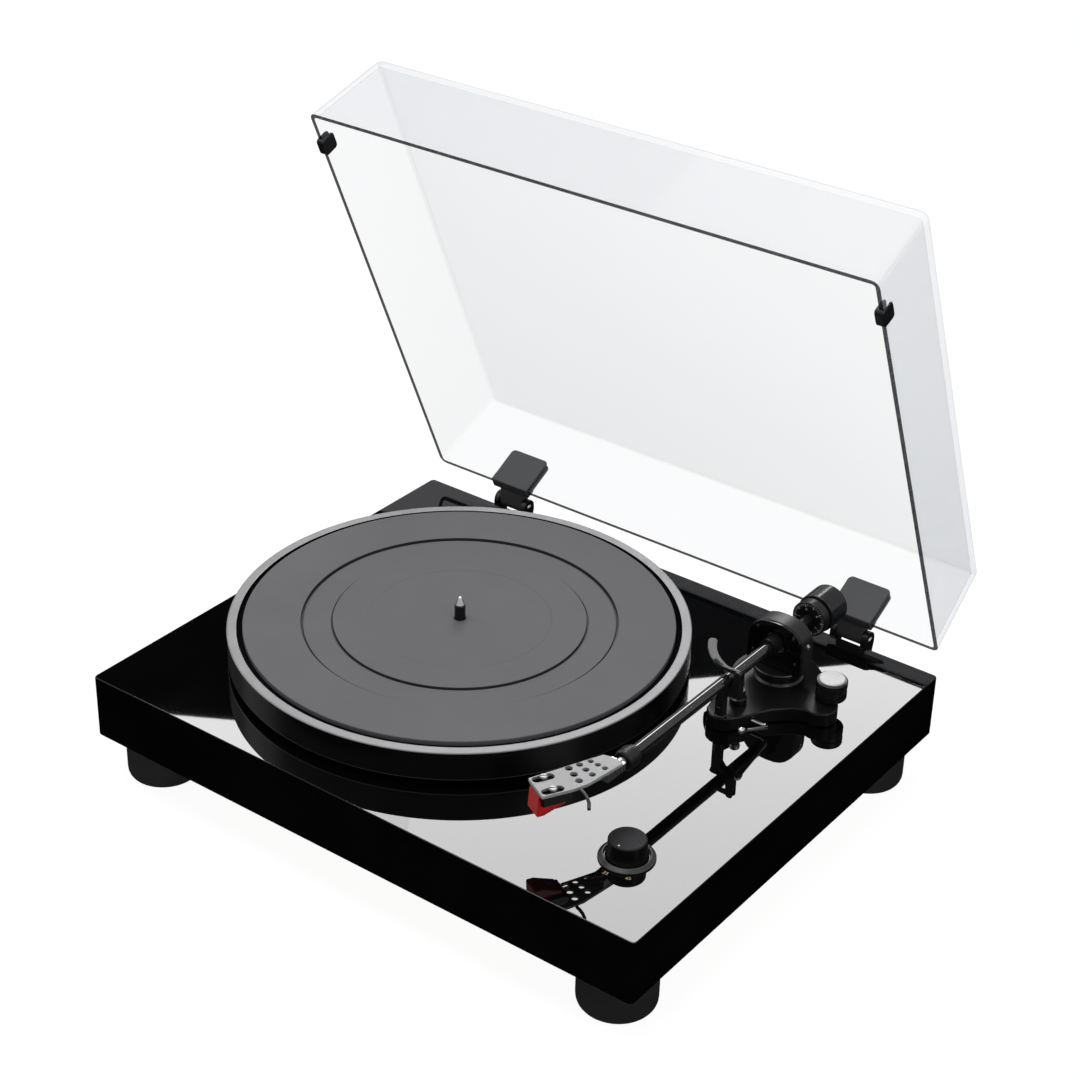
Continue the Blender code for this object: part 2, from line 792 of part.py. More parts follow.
NECK_END = 97 * MM
COLLAR_Y0, COLLAR_Y1 = 91 * MM, 103 * MM
turned(
    "locking_collar",
    [
        (TUBE_R + GAP, COLLAR_Y1), (TUBE_R + 1.2 * MM, COLLAR_Y1),
        (TUBE_R + 1.4 * MM, COLLAR_Y1 - 3 * MM),
        (TUBE_R + 2.6 * MM, COLLAR_Y1 - 3.4 * MM), (TUBE_R + 2.6 * MM, COLLAR_Y0 + 1 * MM),
        (TUBE_R + 2 * MM, COLLAR_Y0), (TUBE_R + GAP, COLLAR_Y0),
    ],
    "matte_black",
    lift,
    local(PIVOT_X, 0, PIVOT_Z),
    steps=32,
    turn=Y_AXIS,
    ring=True,
)

PLATE_Z = PLATE_TOP - PIVOT_Z
neck_bm = bmesh.new()
neck_low = local(340.2 * MM, 71 * MM, PIVOT_Z - 2.4 * MM)
neck_high = local(349.9 * MM, 88 * MM, PLATE_TOP - PLATE_T - GAP)
box_bm(neck_bm, neck_low, neck_high)
neck = add("headshell_neck", mesh_of(neck_bm, "headshell_neck"), "satin_silver", lift, (0, 0, 0))
pin_bm = bmesh.new()
rod_bm(pin_bm, local(PIVOT_X, 91.4 * MM, PIVOT_Z), "Y", TUBE_R - 0.4 * MM, NECK_END - 91.4 * MM, 24)
cut(neck, cutter("neck_pin", pin_bm, lift), "UNION")

head = (cos(OFFSET), sin(OFFSET))


def along(px, py, across, back):
    """Point moved across and back in the turned frame of the cartridge."""
    return (px + across * head[0] + back * head[1], py - across * head[1] + back * head[0])


FRONT_X, FRONT_Y = 325.7 * MM, 33.5 * MM
plate_outline = [
    along(FRONT_X, FRONT_Y, -9.6 * MM, 0.3 * MM),
    along(FRONT_X, FRONT_Y, -9.2 * MM, 0),
    along(FRONT_X, FRONT_Y, 9.6 * MM, 0),
    along(FRONT_X, FRONT_Y, 10.2 * MM, 0.6 * MM),
    along(FRONT_X, FRONT_Y, 10.2 * MM, 19 * MM),
    (347.2 * MM, 55.2 * MM),
    (351 * MM, 84 * MM),
    (350.2 * MM, 84.8 * MM),
    (342 * MM, 84.8 * MM),
    (337 * MM, 83.6 * MM),
]


def slot(cx, cy, length, radius):
    """Long hole lying along the cartridge."""
    dx, dy = head[1] * length / 2, head[0] * length / 2
    start = atan2(dy, dx)
    loop = arc(cx + dx, cy + dy, radius, start - pi / 2, start + pi / 2, 6)
    loop += arc(cx - dx, cy - dy, radius, start + pi / 2, start + 3 * pi / 2, 6)
    return loop


screw_spots = [along(FRONT_X, FRONT_Y, sign * 6.35 * MM, 8.2 * MM) for sign in (-1, 1)]
plate_holes = []
for cx, cy in screw_spots:
    plate_holes.append(slot(cx, cy, 9 * MM, 1.7 * MM))
for back, swingback, radius, reach in (
    (26 * MM, 0.98, 2.1 * MM, 6.6 * MM),
    (34.5 * MM, 0.55, 1.9 * MM, 5.9 * MM),
    (43 * MM, 0.08, 1.6 * MM, 5.2 * MM),
):
    row_x = 327.6 * MM + back * 0.30
    row_y = 32.4 * MM + back * 0.955
    lean = OFFSET * swingback
    for step in (-1, 0, 1):
        hx = row_x + step * reach * cos(lean)
        hy = row_y - step * reach * sin(lean)
        plate_holes.append(circle(hx, hy, radius, 12))


def shift(loop):
    return [(x - PIVOT_X, y - PIVOT_Y) for x, y in loop]


sheet(
    "headshell_plate",
    [shift(plate_outline)] + [shift(loop) for loop in plate_holes],
    PLATE_Z - PLATE_T,
    PLATE_Z,
    "shell_silver",
    lift,
    (0, 0, 0),
)

finger_points = [
    local(346.6 * MM, 48.8 * MM, PLATE_TOP - 1.2 * MM),
    local(349.4 * MM, 47.8 * MM, PLATE_TOP - 1.2 * MM),
    local(353 * MM, 45.8 * MM, PLATE_TOP - 1.5 * MM),
    local(356.6 * MM, 42.8 * MM, PLATE_TOP - 2 * MM),
    local(359.8 * MM, 38.4 * MM, PLATE_TOP - 2.5 * MM),
]
rod("finger_lift", finger_points, 1.05 * MM, "satin_silver", lift, (0, 0, 0))

turn_head = (0, 0, -OFFSET)
cart_at = local(*along(FRONT_X, FRONT_Y, 0, 0), 0)
CART_TOP = PLATE_TOP - PLATE_T - GAP
CART_LOW = PLATE_TOP - 9.2 * MM
cart_profile = [
    (1 * MM, CART_LOW), (1 * MM, CART_TOP - 2.2 * MM), (0.2 * MM, CART_TOP - 1.8 * MM),
    (0.2 * MM, CART_TOP), (16.5 * MM, CART_TOP), (20 * MM, CART_TOP - 3 * MM),
    (20 * MM, CART_LOW + 1 * MM), (17 * MM, CART_LOW),
]


def side_block(name, profile, width, key, parent, at):
    """Block from its side outline (back, up), mirrored about the cartridge."""
    bm = bmesh.new()
    face = bm.faces.new([bm.verts.new((-width / 2, b, z)) for b, z in profile])
    grown = bmesh.ops.extrude_face_region(bm, geom=[face])["geom"]
    for item in grown:
        if isinstance(item, bmesh.types.BMVert):
            item.co.x = width / 2
    return add(name, mesh_of(bm, name), key, parent, at, turn_head)


cart = side_block("cartridge_body", cart_profile, 17.4 * MM, "gloss_black", lift, cart_at)
bevel(cart, 0.5 * MM, segments=1)
cart_holes = bmesh.new()
for sign in (-1, 1):
    rod_bm(cart_holes, (sign * 6.35 * MM, 8.2 * MM, CART_TOP - 1 * MM), "Z", 1.5 * MM, 3 * MM, 12)
cut(cart, cutter("cartridge_bores", cart_holes, lift, cart_at, turn_head))

guard_profile = [
    (0.6 * MM, CART_LOW - GAP), (-1.2 * MM, GUARD_BOTTOM + 0.4 * MM),
    (-0.6 * MM, GUARD_BOTTOM), (2.4 * MM, GUARD_BOTTOM), (15.5 * MM, CART_LOW - 1.8 * MM),
    (16.5 * MM, CART_LOW - GAP),
]
guard = side_block("stylus_guard", guard_profile, 11 * MM, "guard_red", lift, cart_at)
bevel(guard, 0.4 * MM, segments=1)
stylus_points = [
    local(*along(FRONT_X, FRONT_Y, 0, back), z)
    for back, z in (
        (11.4 * MM, GUARD_BOTTOM + 2.4 * MM), (6.6 * MM, GUARD_BOTTOM), (6.5 * MM, GUARD_BOTTOM - 0.4 * MM)
    )
]
rod("stylus", stylus_points, 0.32 * MM, "diamond_grey", lift, (0, 0, 0), (1, 1, 0.35), sides=1)

for (sx, sy), side in zip(screw_spots, ("left", "right")):
    screw = turned(
        f"cartridge_screw_{side}",
        [
            (0, 1.7 * MM), (2 * MM, 1.6 * MM), (2.5 * MM, 1.1 * MM), (2.5 * MM, GAP),
            (1.2 * MM, GAP), (1.2 * MM, -5 * MM), (0, -5 * MM),
        ],
        "polished_steel",
        lift,
        local(sx, sy, PLATE_TOP),
        steps=16,
    )
    nick = bmesh.new()
    box_bm(nick, (-3 * MM, -0.35 * MM, 1.1 * MM), (3 * MM, 0.35 * MM, 3 * MM))
    cut(screw, cutter(f"screw_nick_{side}", nick, lift, local(sx, sy, PLATE_TOP), (0, 0, 0.7)))

# ---------------------------------------------------------------- lift, rest and anti-skate

turned(
    "lift_cylinder",
    [
        (2.3 * MM, 19 * MM), (4 * MM, 19 * MM), (4.4 * MM, 18.4 * MM), (4.4 * MM, 14 * MM),
        (5.4 * MM, 13.4 * MM), (5.4 * MM, BASE_T + GAP), (2.3 * MM, BASE_T + GAP),
    ],
    "satin_black",
    deck,
    (LIFT_X, LIFT_Y, 0),
    steps=24,
    ring=True,
)
BAR_TOP = PIVOT_Z - TUBE_R - 4.6 * MM
BAR_LOW = BAR_TOP - 2.6 * MM
lift_slide = empty("lift_slide", (LIFT_X, LIFT_Y, 0), deck)
turned(
    "lift_piston",
    [
        (0, BAR_LOW), (1.8 * MM, BAR_LOW - 0.3 * MM), (3.2 * MM, BAR_LOW - 1.6 * MM),
        (3.6 * MM, BAR_LOW - 3.4 * MM), (3 * MM, BAR_LOW - 5.2 * MM), (2 * MM, BAR_LOW - 5.8 * MM),
        (2 * MM, 11 * MM), (0, 11 * MM),
    ],
    "polished_steel",
    lift_slide,
    (0, 0, 0),
    steps=20,
)
bar_in, bar_out = 40.2 * MM, 45.8 * MM
bar_outline = arc(0, 0, bar_out, radians(203), radians(279), 16)
bar_outline += arc(0, 0, bar_in, radians(279), radians(203), 16)
bar = slab("lift_bar", bar_outline, BAR_LOW, BAR_TOP, "satin_black", lift_slide)
bar.location = (PIVOT_X - LIFT_X, PIVOT_Y - LIFT_Y, 0)
bevel(bar, 0.5 * MM, segments=1)

lever_turn = empty("lever_turn", (356 * MM, 216 * MM, 5 * MM), deck)
lever_points = [
    (-7 * MM, 0, 0), (9.5 * MM, 0, 0), (12.2 * MM, -0.8 * MM, 0.3 * MM),
    (13.2 * MM, -3.4 * MM, 1.3 * MM), (11.4 * MM, -24 * MM, 10 * MM), (11.2 * MM, -26 * MM, 10.9 * MM),
    (11.1 * MM, -27.4 * MM, 11.5 * MM), (11 * MM, -29 * MM, 12.2 * MM),
    (10.9 * MM, -30.6 * MM, 12.9 * MM), (10.8 * MM, -31.4 * MM, 13.2 * MM),
]
lever_radii = [1, 1, 1, 1, 1, 1.05, 1.55, 1.7, 1.35, 0.5]
rod("cue_lever", lever_points, 1.35 * MM, "polished_steel", lever_turn, (0, 0, 0), lever_radii)

REST_T = 5.2 * MM
CRADLE = PIVOT_Z - TUBE_R - 0.4 * MM
CLIP_X = TUBE_R + 3.8 * MM
CLIP_Z = PIVOT_Z + TUBE_R + 2.8 * MM
rest_outline = [
    (-6.5 * MM, BASE_T + GAP), (-0.5 * MM, BASE_T + GAP), (-0.5 * MM, CRADLE - 9.4 * MM),
    (2 * MM, CRADLE - 6.4 * MM), (TUBE_R + 4 * MM, CRADLE - 5.4 * MM),
    (TUBE_R + 6.3 * MM, CRADLE - 2.4 * MM), (TUBE_R + 6.3 * MM, CLIP_Z + 1 * MM),
    (TUBE_R + 5.2 * MM, CLIP_Z + 2.2 * MM), (TUBE_R + 2.6 * MM, CLIP_Z + 2.2 * MM),
    (TUBE_R + 1.6 * MM, CLIP_Z + 1 * MM), (TUBE_R + 1 * MM, CLIP_Z - 2.6 * MM),
    (TUBE_R + 0.8 * MM, PIVOT_Z - 1.8 * MM), (TUBE_R - 0.8 * MM, CRADLE),
    (-TUBE_R - 1.8 * MM, CRADLE), (-TUBE_R - 3.5 * MM, CRADLE - 1.1 * MM),
    (-TUBE_R - 2.5 * MM, CRADLE - 4.4 * MM),
]
rest = slab(
    "arm_rest",
    rest_outline,
    -REST_T / 2,
    REST_T / 2,
    "matte_black",
    at=(REST_X, REST_Y, 0),
    turn=STAND,
    edge=0.4 * MM,
)
clip_slot = bmesh.new()
box_bm(
    clip_slot,
    (TUBE_R - 1 * MM, -1.5 * MM, CLIP_Z - 2.8 * MM),
    (TUBE_R + 10 * MM, 1.5 * MM, CLIP_Z + 15 * MM),
)
cut(rest, cutter("clip_slot", clip_slot, deck, (REST_X, REST_Y, 0)))
clip_axle = bmesh.new()
rod_bm(clip_axle, (CLIP_X, 0, CLIP_Z), "Y", 0.9 * MM, REST_T / 2 - 0.6 * MM, 12)
cut(rest, cutter("clip_axle", clip_axle, deck, (REST_X, REST_Y, 0)), "UNION")

clip_turn = empty("clip_turn", (REST_X + CLIP_X, REST_Y, CLIP_Z), deck)
clip_outline = arc(0, 0, 2.2 * MM, radians(-75), radians(95), 8)
clip_outline += [
    (-4 * MM, 1.9 * MM), (-11 * MM, 1.6 * MM), (-14 * MM, 2 * MM), (-17.6 * MM, 4.2 * MM),
    (-18.6 * MM, 3.6 * MM), (-15.6 * MM, 0.2 * MM), (-12.2 * MM, -1 * MM),
    (-11 * MM, -1.2 * MM), (-4 * MM, -1 * MM),
]
clip = slab(
    "arm_clip",
    clip_outline,
    -1.2 * MM,
    1.2 * MM,
    "matte_black",
    parent=clip_turn,
    turn=STAND,
    edge=0.25 * MM,
)
clip_bore = bmesh.new()
rod_bm(clip_bore, (0, 0, 0), "Y", 1.2 * MM, 4 * MM, 12)
cut(clip, cutter("clip_bore", clip_bore, clip_turn))

skate_turn = empty("skate_turn", (SKATE_X, SKATE_Y, 0), deck)
turned(
    "anti_skate_knob",
    [
        (0, SKATE_TOP), (SKATE_R - 0.6 * MM, SKATE_TOP), (SKATE_R, SKATE_TOP - 0.6 * MM),
        (SKATE_R, BASE_T + 1 * MM), (SKATE_R - 0.6 * MM, BASE_T + GAP), (3 * MM, BASE_T + GAP),
        (3 * MM, 4.6 * MM), (0, 4.6 * MM),
    ],
    "satin_black",
    skate_turn,
    (0, 0, 0),
    steps=28,
)
turned(
    "anti_skate_cap",
    [
        (0, 1.1 * MM), (SKATE_R - 1.9 * MM, 1.1 * MM), (SKATE_R - 1.4 * MM, 0.7 * MM),
        (SKATE_R - 1.4 * MM, GAP), (0, GAP),
    ],
    "satin_silver",
    skate_turn,
    (0, 0, SKATE_TOP),
    steps=28,
)

# ---------------------------------------------------------------- speed control

turned(
    "speed_bezel",
    [
        (13.8 * MM, 2.6 * MM), (14.4 * MM, 2.6 * MM), (BEZEL_R, 1.1 * MM),
        (BEZEL_R, GAP), (4.2 * MM, GAP), (4.2 * MM, 0.9 * MM), (13.8 * MM, 0.9 * MM),
    ],
    "bezel_grey",
    deck,
    (KNOB_X, KNOB_Y, 0),
    steps=32,
    ring=True,
)
speed_turn = empty("speed_turn", (KNOB_X, KNOB_Y, 0), deck)
turned(
    "speed_knob",
    [
        (0, KNOB_TOP), (KNOB_R - 0.4 * MM, KNOB_TOP), (KNOB_R, KNOB_TOP - 0.4 * MM),
        (KNOB_FOOT_R, 1.3 * MM), (2.8 * MM, 1.3 * MM), (2.8 * MM, -18 * MM), (0, -18 * MM),
    ],
    "knob_grey",
    speed_turn,
    (0, 0, 0),
    steps=32,
)
switch = box(
    "speed_switch",
    (-11 * MM, -13 * MM, -28 * MM),
    (11 * MM, 13 * MM, -TOP_SKIN - GAP),
    "grey_plastic",
    at=(KNOB_X, KNOB_Y, 0),
)
neck_hole = bmesh.new()
rod_bm(neck_hole, (KNOB_X, KNOB_Y, -TOP_SKIN), "Z", 3.1 * MM, 4 * MM, 16)
cut(switch, cutter("switch_bore", neck_hole))

# ---------------------------------------------------------------- lid and hinges

lid_turn = empty("lid_turn", (0, HINGE_Y, HINGE_Z), deck, turn=-LID_OPEN)
lid_x0 = (PLINTH_W - LID_W) / 2
lid_y0 = LID_REAR - LID_D


def lid_loop(inset, z, thick=0.0):
    """Rounded outline of the lid at height z above its rim, closed position."""
    d = inset + thick
    radius = max(LID_CORNER - thick, 1 * MM)
    outline = rounded_rect(
        lid_x0 + d, lid_y0 + d, lid_x0 + LID_W - d, lid_y0 + LID_D - d, radius, 4
    )
    return [(x, y - HINGE_Y, z + LID_RIM - HINGE_Z) for x, y in outline]


def draft(z):
    return LID_DRAFT * z / LID_H


inner_top = LID_H - LID_WALL
lid = loft(
    "lid",
    [
        lid_loop(draft(inner_top) + 1 * MM, inner_top, LID_WALL),
        lid_loop(draft(inner_top), inner_top - 1 * MM, LID_WALL),
        lid_loop(0, 0, LID_WALL),
        lid_loop(0, 0),
        lid_loop(draft(LID_H - 2 * MM), LID_H - 2 * MM),
        lid_loop(draft(LID_H) + 0.6 * MM, LID_H - 0.6 * MM),
        lid_loop(draft(LID_H) + 2 * MM, LID_H),
    ],
    "clear_acrylic",
    lid_turn,
    (0, 0, 0),
)

BUMPER_Y = LID_REAR - 303.6 * MM - HINGE_Y
for side, sign in (("left", 1), ("right", -1)):
    edge_x = lid_x0 if sign > 0 else lid_x0 + LID_W
    outline = rounded_rect(-6 * MM, -LID_RIM + GAP, 6 * MM, 9 * MM, 2.6 * MM, 3)
    made = bmesh.new()
    slab_bm(made, outline, -0.8 * MM, LID_WALL + 2.2 * MM)
    mesh = mesh_of(made, f"lid_bumper_{side}")
    bumper = add(
        f"lid_bumper_{side}",
        mesh,
        "matte_black",
        lid_turn,
        (edge_x, BUMPER_Y, LID_RIM - HINGE_Z),
        (pi / 2, 0, sign * pi / 2),
    )
    bevel(bumper, 0.6 * MM, segments=1)
    gate = bmesh.new()
    lean = draft(14 * MM)
    face = gate.faces.new(
        [
            gate.verts.new((x, -10 * MM, z))
            for x, z in (
                (-GAP, -GAP), (LID_WALL + GAP, -GAP),
                (LID_WALL + GAP + lean, 14 * MM), (-GAP + lean, 14 * MM),
            )
        ]
    )
    grown = bmesh.ops.extrude_face_region(gate, geom=[face])["geom"]
    for item in grown:
        if isinstance(item, bmesh.types.BMVert):
            item.co.y = 10 * MM
    for vert in gate.verts:
        vert.co.x *= sign
    cut(
        bumper,
        cutter(
            f"bumper_gate_{side}", gate, lid_turn, (edge_x, BUMPER_Y, LID_RIM - HINGE_Z)
        ),
    )

REACH = HINGE_Y - LID_REAR
RIM_Z = LID_RIM - HINGE_Z
for side, sign in (("left", -1), ("right", 1)):
    hx = PLINTH_W / 2 + sign * HINGE_SPREAD
    # fixed half: rear plate, two ears and the hinge pin between them
    base_bm = bmesh.new()
    box_bm(base_bm, (-16 * MM, -8 * MM, -36 * MM), (16 * MM, -5 * MM, -9 * MM))
    base = add(
        f"hinge_base_{side}",
        mesh_of(base_bm, f"hinge_base_{side}"),
        "matte_black",
        deck,
        (hx, HINGE_Y, HINGE_Z),
    )
    ears = bmesh.new()
    for inner in (9.6 * MM, -13.6 * MM):
        ear = [(-6.5 * MM, -20 * MM), (2 * MM, -20 * MM), (6 * MM, -3 * MM)]
        ear += arc(0, 0, 6 * MM, 0, pi, 8)
        ear += [(-6.5 * MM, -10 * MM)]
        side_face = ears.faces.new([ears.verts.new((inner, y, z)) for y, z in ear])
        grown = bmesh.ops.extrude_face_region(ears, geom=[side_face])["geom"]
        for item in grown:
            if isinstance(item, bmesh.types.BMVert):
                item.co.x = inner + 4 * MM
    cut(base, cutter(f"hinge_ears_{side}", ears, deck, (hx, HINGE_Y, HINGE_Z)), "UNION")
    pin = bmesh.new()
    rod_bm(pin, (0, 0, 0), "X", 2.2 * MM, 12.8 * MM, 16)
    cut(base, cutter(f"hinge_pin_{side}", pin, deck, (hx, HINGE_Y, HINGE_Z)), "UNION")
    # moving half: U-shaped pocket for the rear wall and the barrel round the pin
    low = RIM_Z - GAP - 1.6 * MM
    high = RIM_Z + POCKET_H
    outer = -REACH + GAP + 2.2 * MM
    inner = -REACH - LID_WALL - GAP - 2 * MM
    lean = draft(POCKET_H)
    block = [
        (outer, low), (outer - lean * 0.4, high), (inner - lean, high), (inner, low),
    ]
    pocket_bm = bmesh.new()
    front = pocket_bm.faces.new([pocket_bm.verts.new((-POCKET_W / 2, y, z)) for y, z in block])
    grown = bmesh.ops.extrude_face_region(pocket_bm, geom=[front])["geom"]
    for item in grown:
        if isinstance(item, bmesh.types.BMVert):
            item.co.x = POCKET_W / 2
    pocket_obj = add(
        f"hinge_pocket_{side}",
        mesh_of(pocket_bm, f"hinge_pocket_{side}"),
        "hinge_grey",
        lid_turn,
        (hx, 0, 0),
    )
    corner = bevel(pocket_obj, 0.6 * MM, segments=1)
    wall = bmesh.new()
    slit = [
        (-REACH + GAP, RIM_Z - GAP), (-REACH + GAP - lean * 1.3, RIM_Z + POCKET_H * 1.3),
        (-REACH - LID_WALL - GAP - lean * 1.3, RIM_Z + POCKET_H * 1.3),
        (-REACH - LID_WALL - GAP, RIM_Z - GAP),
    ]
    slit_face = wall.faces.new([wall.verts.new((-POCKET_W, y, z)) for y, z in slit])
    grown = bmesh.ops.extrude_face_region(wall, geom=[slit_face])["geom"]
    for item in grown:
        if isinstance(item, bmesh.types.BMVert):
            item.co.x = POCKET_W
    cut(pocket_obj, cutter(f"pocket_slit_{side}", wall, lid_turn, (hx, 0, 0)))
    web = bmesh.new()
    arm = [(outer - 1 * MM, low + 0.4 * MM)] + arc(0, 0, 4.6 * MM, radians(-120), radians(100), 10)
    arm += [(outer - 1 * MM, RIM_Z + 9 * MM)]
    web_face = web.faces.new([web.verts.new((-9.2 * MM, y, z)) for y, z in arm])
    grown = bmesh.ops.extrude_face_region(web, geom=[web_face])["geom"]
    for item in grown:
        if isinstance(item, bmesh.types.BMVert):
            item.co.x = 9.2 * MM
    cut(pocket_obj, cutter(f"pocket_web_{side}", web, lid_turn, (hx, 0, 0)), "UNION")
    axle = bmesh.new()
    rod_bm(axle, (0, 0, 0), "X", 2.2 * MM + GAP, 20 * MM, 16)
    cut(pocket_obj, cutter(f"pocket_bore_{side}", axle, lid_turn, (hx, 0, 0)))

# ---------------------------------------------------------------- rear sockets

panel_face = PLINTH_D - 0.3 * MM
panel = box(
    "rear_panel",
    (PANEL_X0, PLINTH_D - 2 * MM, PANEL_Z0),
    (PANEL_X1, panel_face, PANEL_Z1),
    "matte_black",
)
panel_mid = (PANEL_Z0 + PANEL_Z1) / 2
SOCKETS = {
    "signal_socket_left": (PANEL_X0 + 16 * MM, 4.6 * MM),
    "signal_socket_right": (PANEL_X0 + 34 * MM, 4.6 * MM),
    "ground_post": (PANEL_X0 + 54 * MM, 3 * MM),
    "power_socket": (PANEL_X0 + 80 * MM, 6 * MM),
}
panel_holes = bmesh.new()
for x, radius in SOCKETS.values():
    rod_bm(panel_holes, (x, PLINTH_D, panel_mid), "Y", radius, 6 * MM, 20)
cut(panel, cutter("panel_bores", panel_holes))
for name, key in (("signal_socket_left", "white_ring"), ("signal_socket_right", "red_ring")):
    x, radius = SOCKETS[name]
    body = radius - GAP
    turned(
        name,
        [
            (3.2 * MM, 9 * MM), (body - 0.2 * MM, 9 * MM), (body, 8.6 * MM), (body, 2 * MM),
            (body, -10 * MM), (0, -10 * MM), (0, -1 * MM), (3.2 * MM, -1 * MM),
        ],
        key,
        deck,
        (x, PLINTH_D, panel_mid),
        steps=24,
        turn=Y_AXIS,
        ring=True,
    )
x, radius = SOCKETS["ground_post"]
turned(
    "ground_post",
    [
        (0, 9 * MM), (3.4 * MM, 9 * MM), (4 * MM, 8.4 * MM), (4 * MM, 2 * MM), (radius - GAP, 1 * MM),
        (radius - GAP, -8 * MM), (0, -8 * MM),
    ],
    "gold_metal",
    deck,
    (x, PLINTH_D, panel_mid),
    steps=20,
    turn=Y_AXIS,
)
x, radius = SOCKETS["power_socket"]
turned(
    "power_socket",
    [
        (2.9 * MM, 1.6 * MM), (radius - GAP, 1.6 * MM), (radius - GAP, -12 * MM), (0, -12 * MM),
        (0, 0.4 * MM), (0.9 * MM, 0.2 * MM), (0.9 * MM, -9 * MM), (2.9 * MM, -9 * MM),
    ],
    "matte_black",
    deck,
    (x, PLINTH_D, panel_mid),
    steps=24,
    turn=Y_AXIS,
    ring=True,
)
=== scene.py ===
import json
from math import cos, pi, radians, sin

import bmesh
import bpy
from mathutils import Matrix, Vector

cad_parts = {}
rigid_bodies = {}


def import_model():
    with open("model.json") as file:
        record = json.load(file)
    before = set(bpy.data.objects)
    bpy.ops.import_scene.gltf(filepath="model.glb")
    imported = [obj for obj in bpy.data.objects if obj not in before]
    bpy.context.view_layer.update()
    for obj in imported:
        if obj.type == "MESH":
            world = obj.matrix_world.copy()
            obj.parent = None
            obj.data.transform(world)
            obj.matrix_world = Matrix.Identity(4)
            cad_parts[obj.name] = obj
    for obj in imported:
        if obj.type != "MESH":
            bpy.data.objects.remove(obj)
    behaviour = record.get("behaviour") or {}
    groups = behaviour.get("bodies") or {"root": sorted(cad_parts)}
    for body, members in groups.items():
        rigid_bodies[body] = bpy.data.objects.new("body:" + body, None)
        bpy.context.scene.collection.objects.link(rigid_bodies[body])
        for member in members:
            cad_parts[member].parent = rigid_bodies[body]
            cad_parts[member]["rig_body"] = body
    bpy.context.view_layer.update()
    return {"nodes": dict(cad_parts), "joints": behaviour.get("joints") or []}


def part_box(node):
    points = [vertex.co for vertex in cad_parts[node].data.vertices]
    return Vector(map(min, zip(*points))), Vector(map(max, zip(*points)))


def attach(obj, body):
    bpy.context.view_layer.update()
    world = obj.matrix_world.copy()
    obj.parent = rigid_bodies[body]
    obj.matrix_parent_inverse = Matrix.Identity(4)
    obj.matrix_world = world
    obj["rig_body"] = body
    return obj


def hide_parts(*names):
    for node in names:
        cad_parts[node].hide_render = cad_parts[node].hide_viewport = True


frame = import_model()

MM = 0.001
nodes = frame["nodes"]


def low(node):
    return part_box(node)[0]


def high(node):
    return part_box(node)[1]


def middle(node):
    corner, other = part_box(node)
    return (corner + other) / 2


def radius_of(node):
    """Half the node's width, in millimetres."""
    return (high(node).x - low(node).x) / 2 / MM


def length_of(node):
    """The node's reach from front to back, in millimetres."""
    return (high(node).y - low(node).y) / MM


# The deck's own corner: left side, front face and top of the plinth.
LEFT, FRONT, TOP = low("plinth").x, low("plinth").y, high("plinth").z


def deck(x, y, z=0.0):
    """A point given in millimetres from the front left corner of the plinth's top."""
    return Vector((LEFT + x * MM, FRONT + y * MM, TOP + z * MM))


def top_of(node):
    """Height of the node's top above the deck, in millimetres."""
    return (high(node).z - TOP) / MM


def bottom_of(node):
    """Height of the node's underside above the deck, in millimetres."""
    return (low(node).z - TOP) / MM


# ---------------------------------------------------------------- finishes


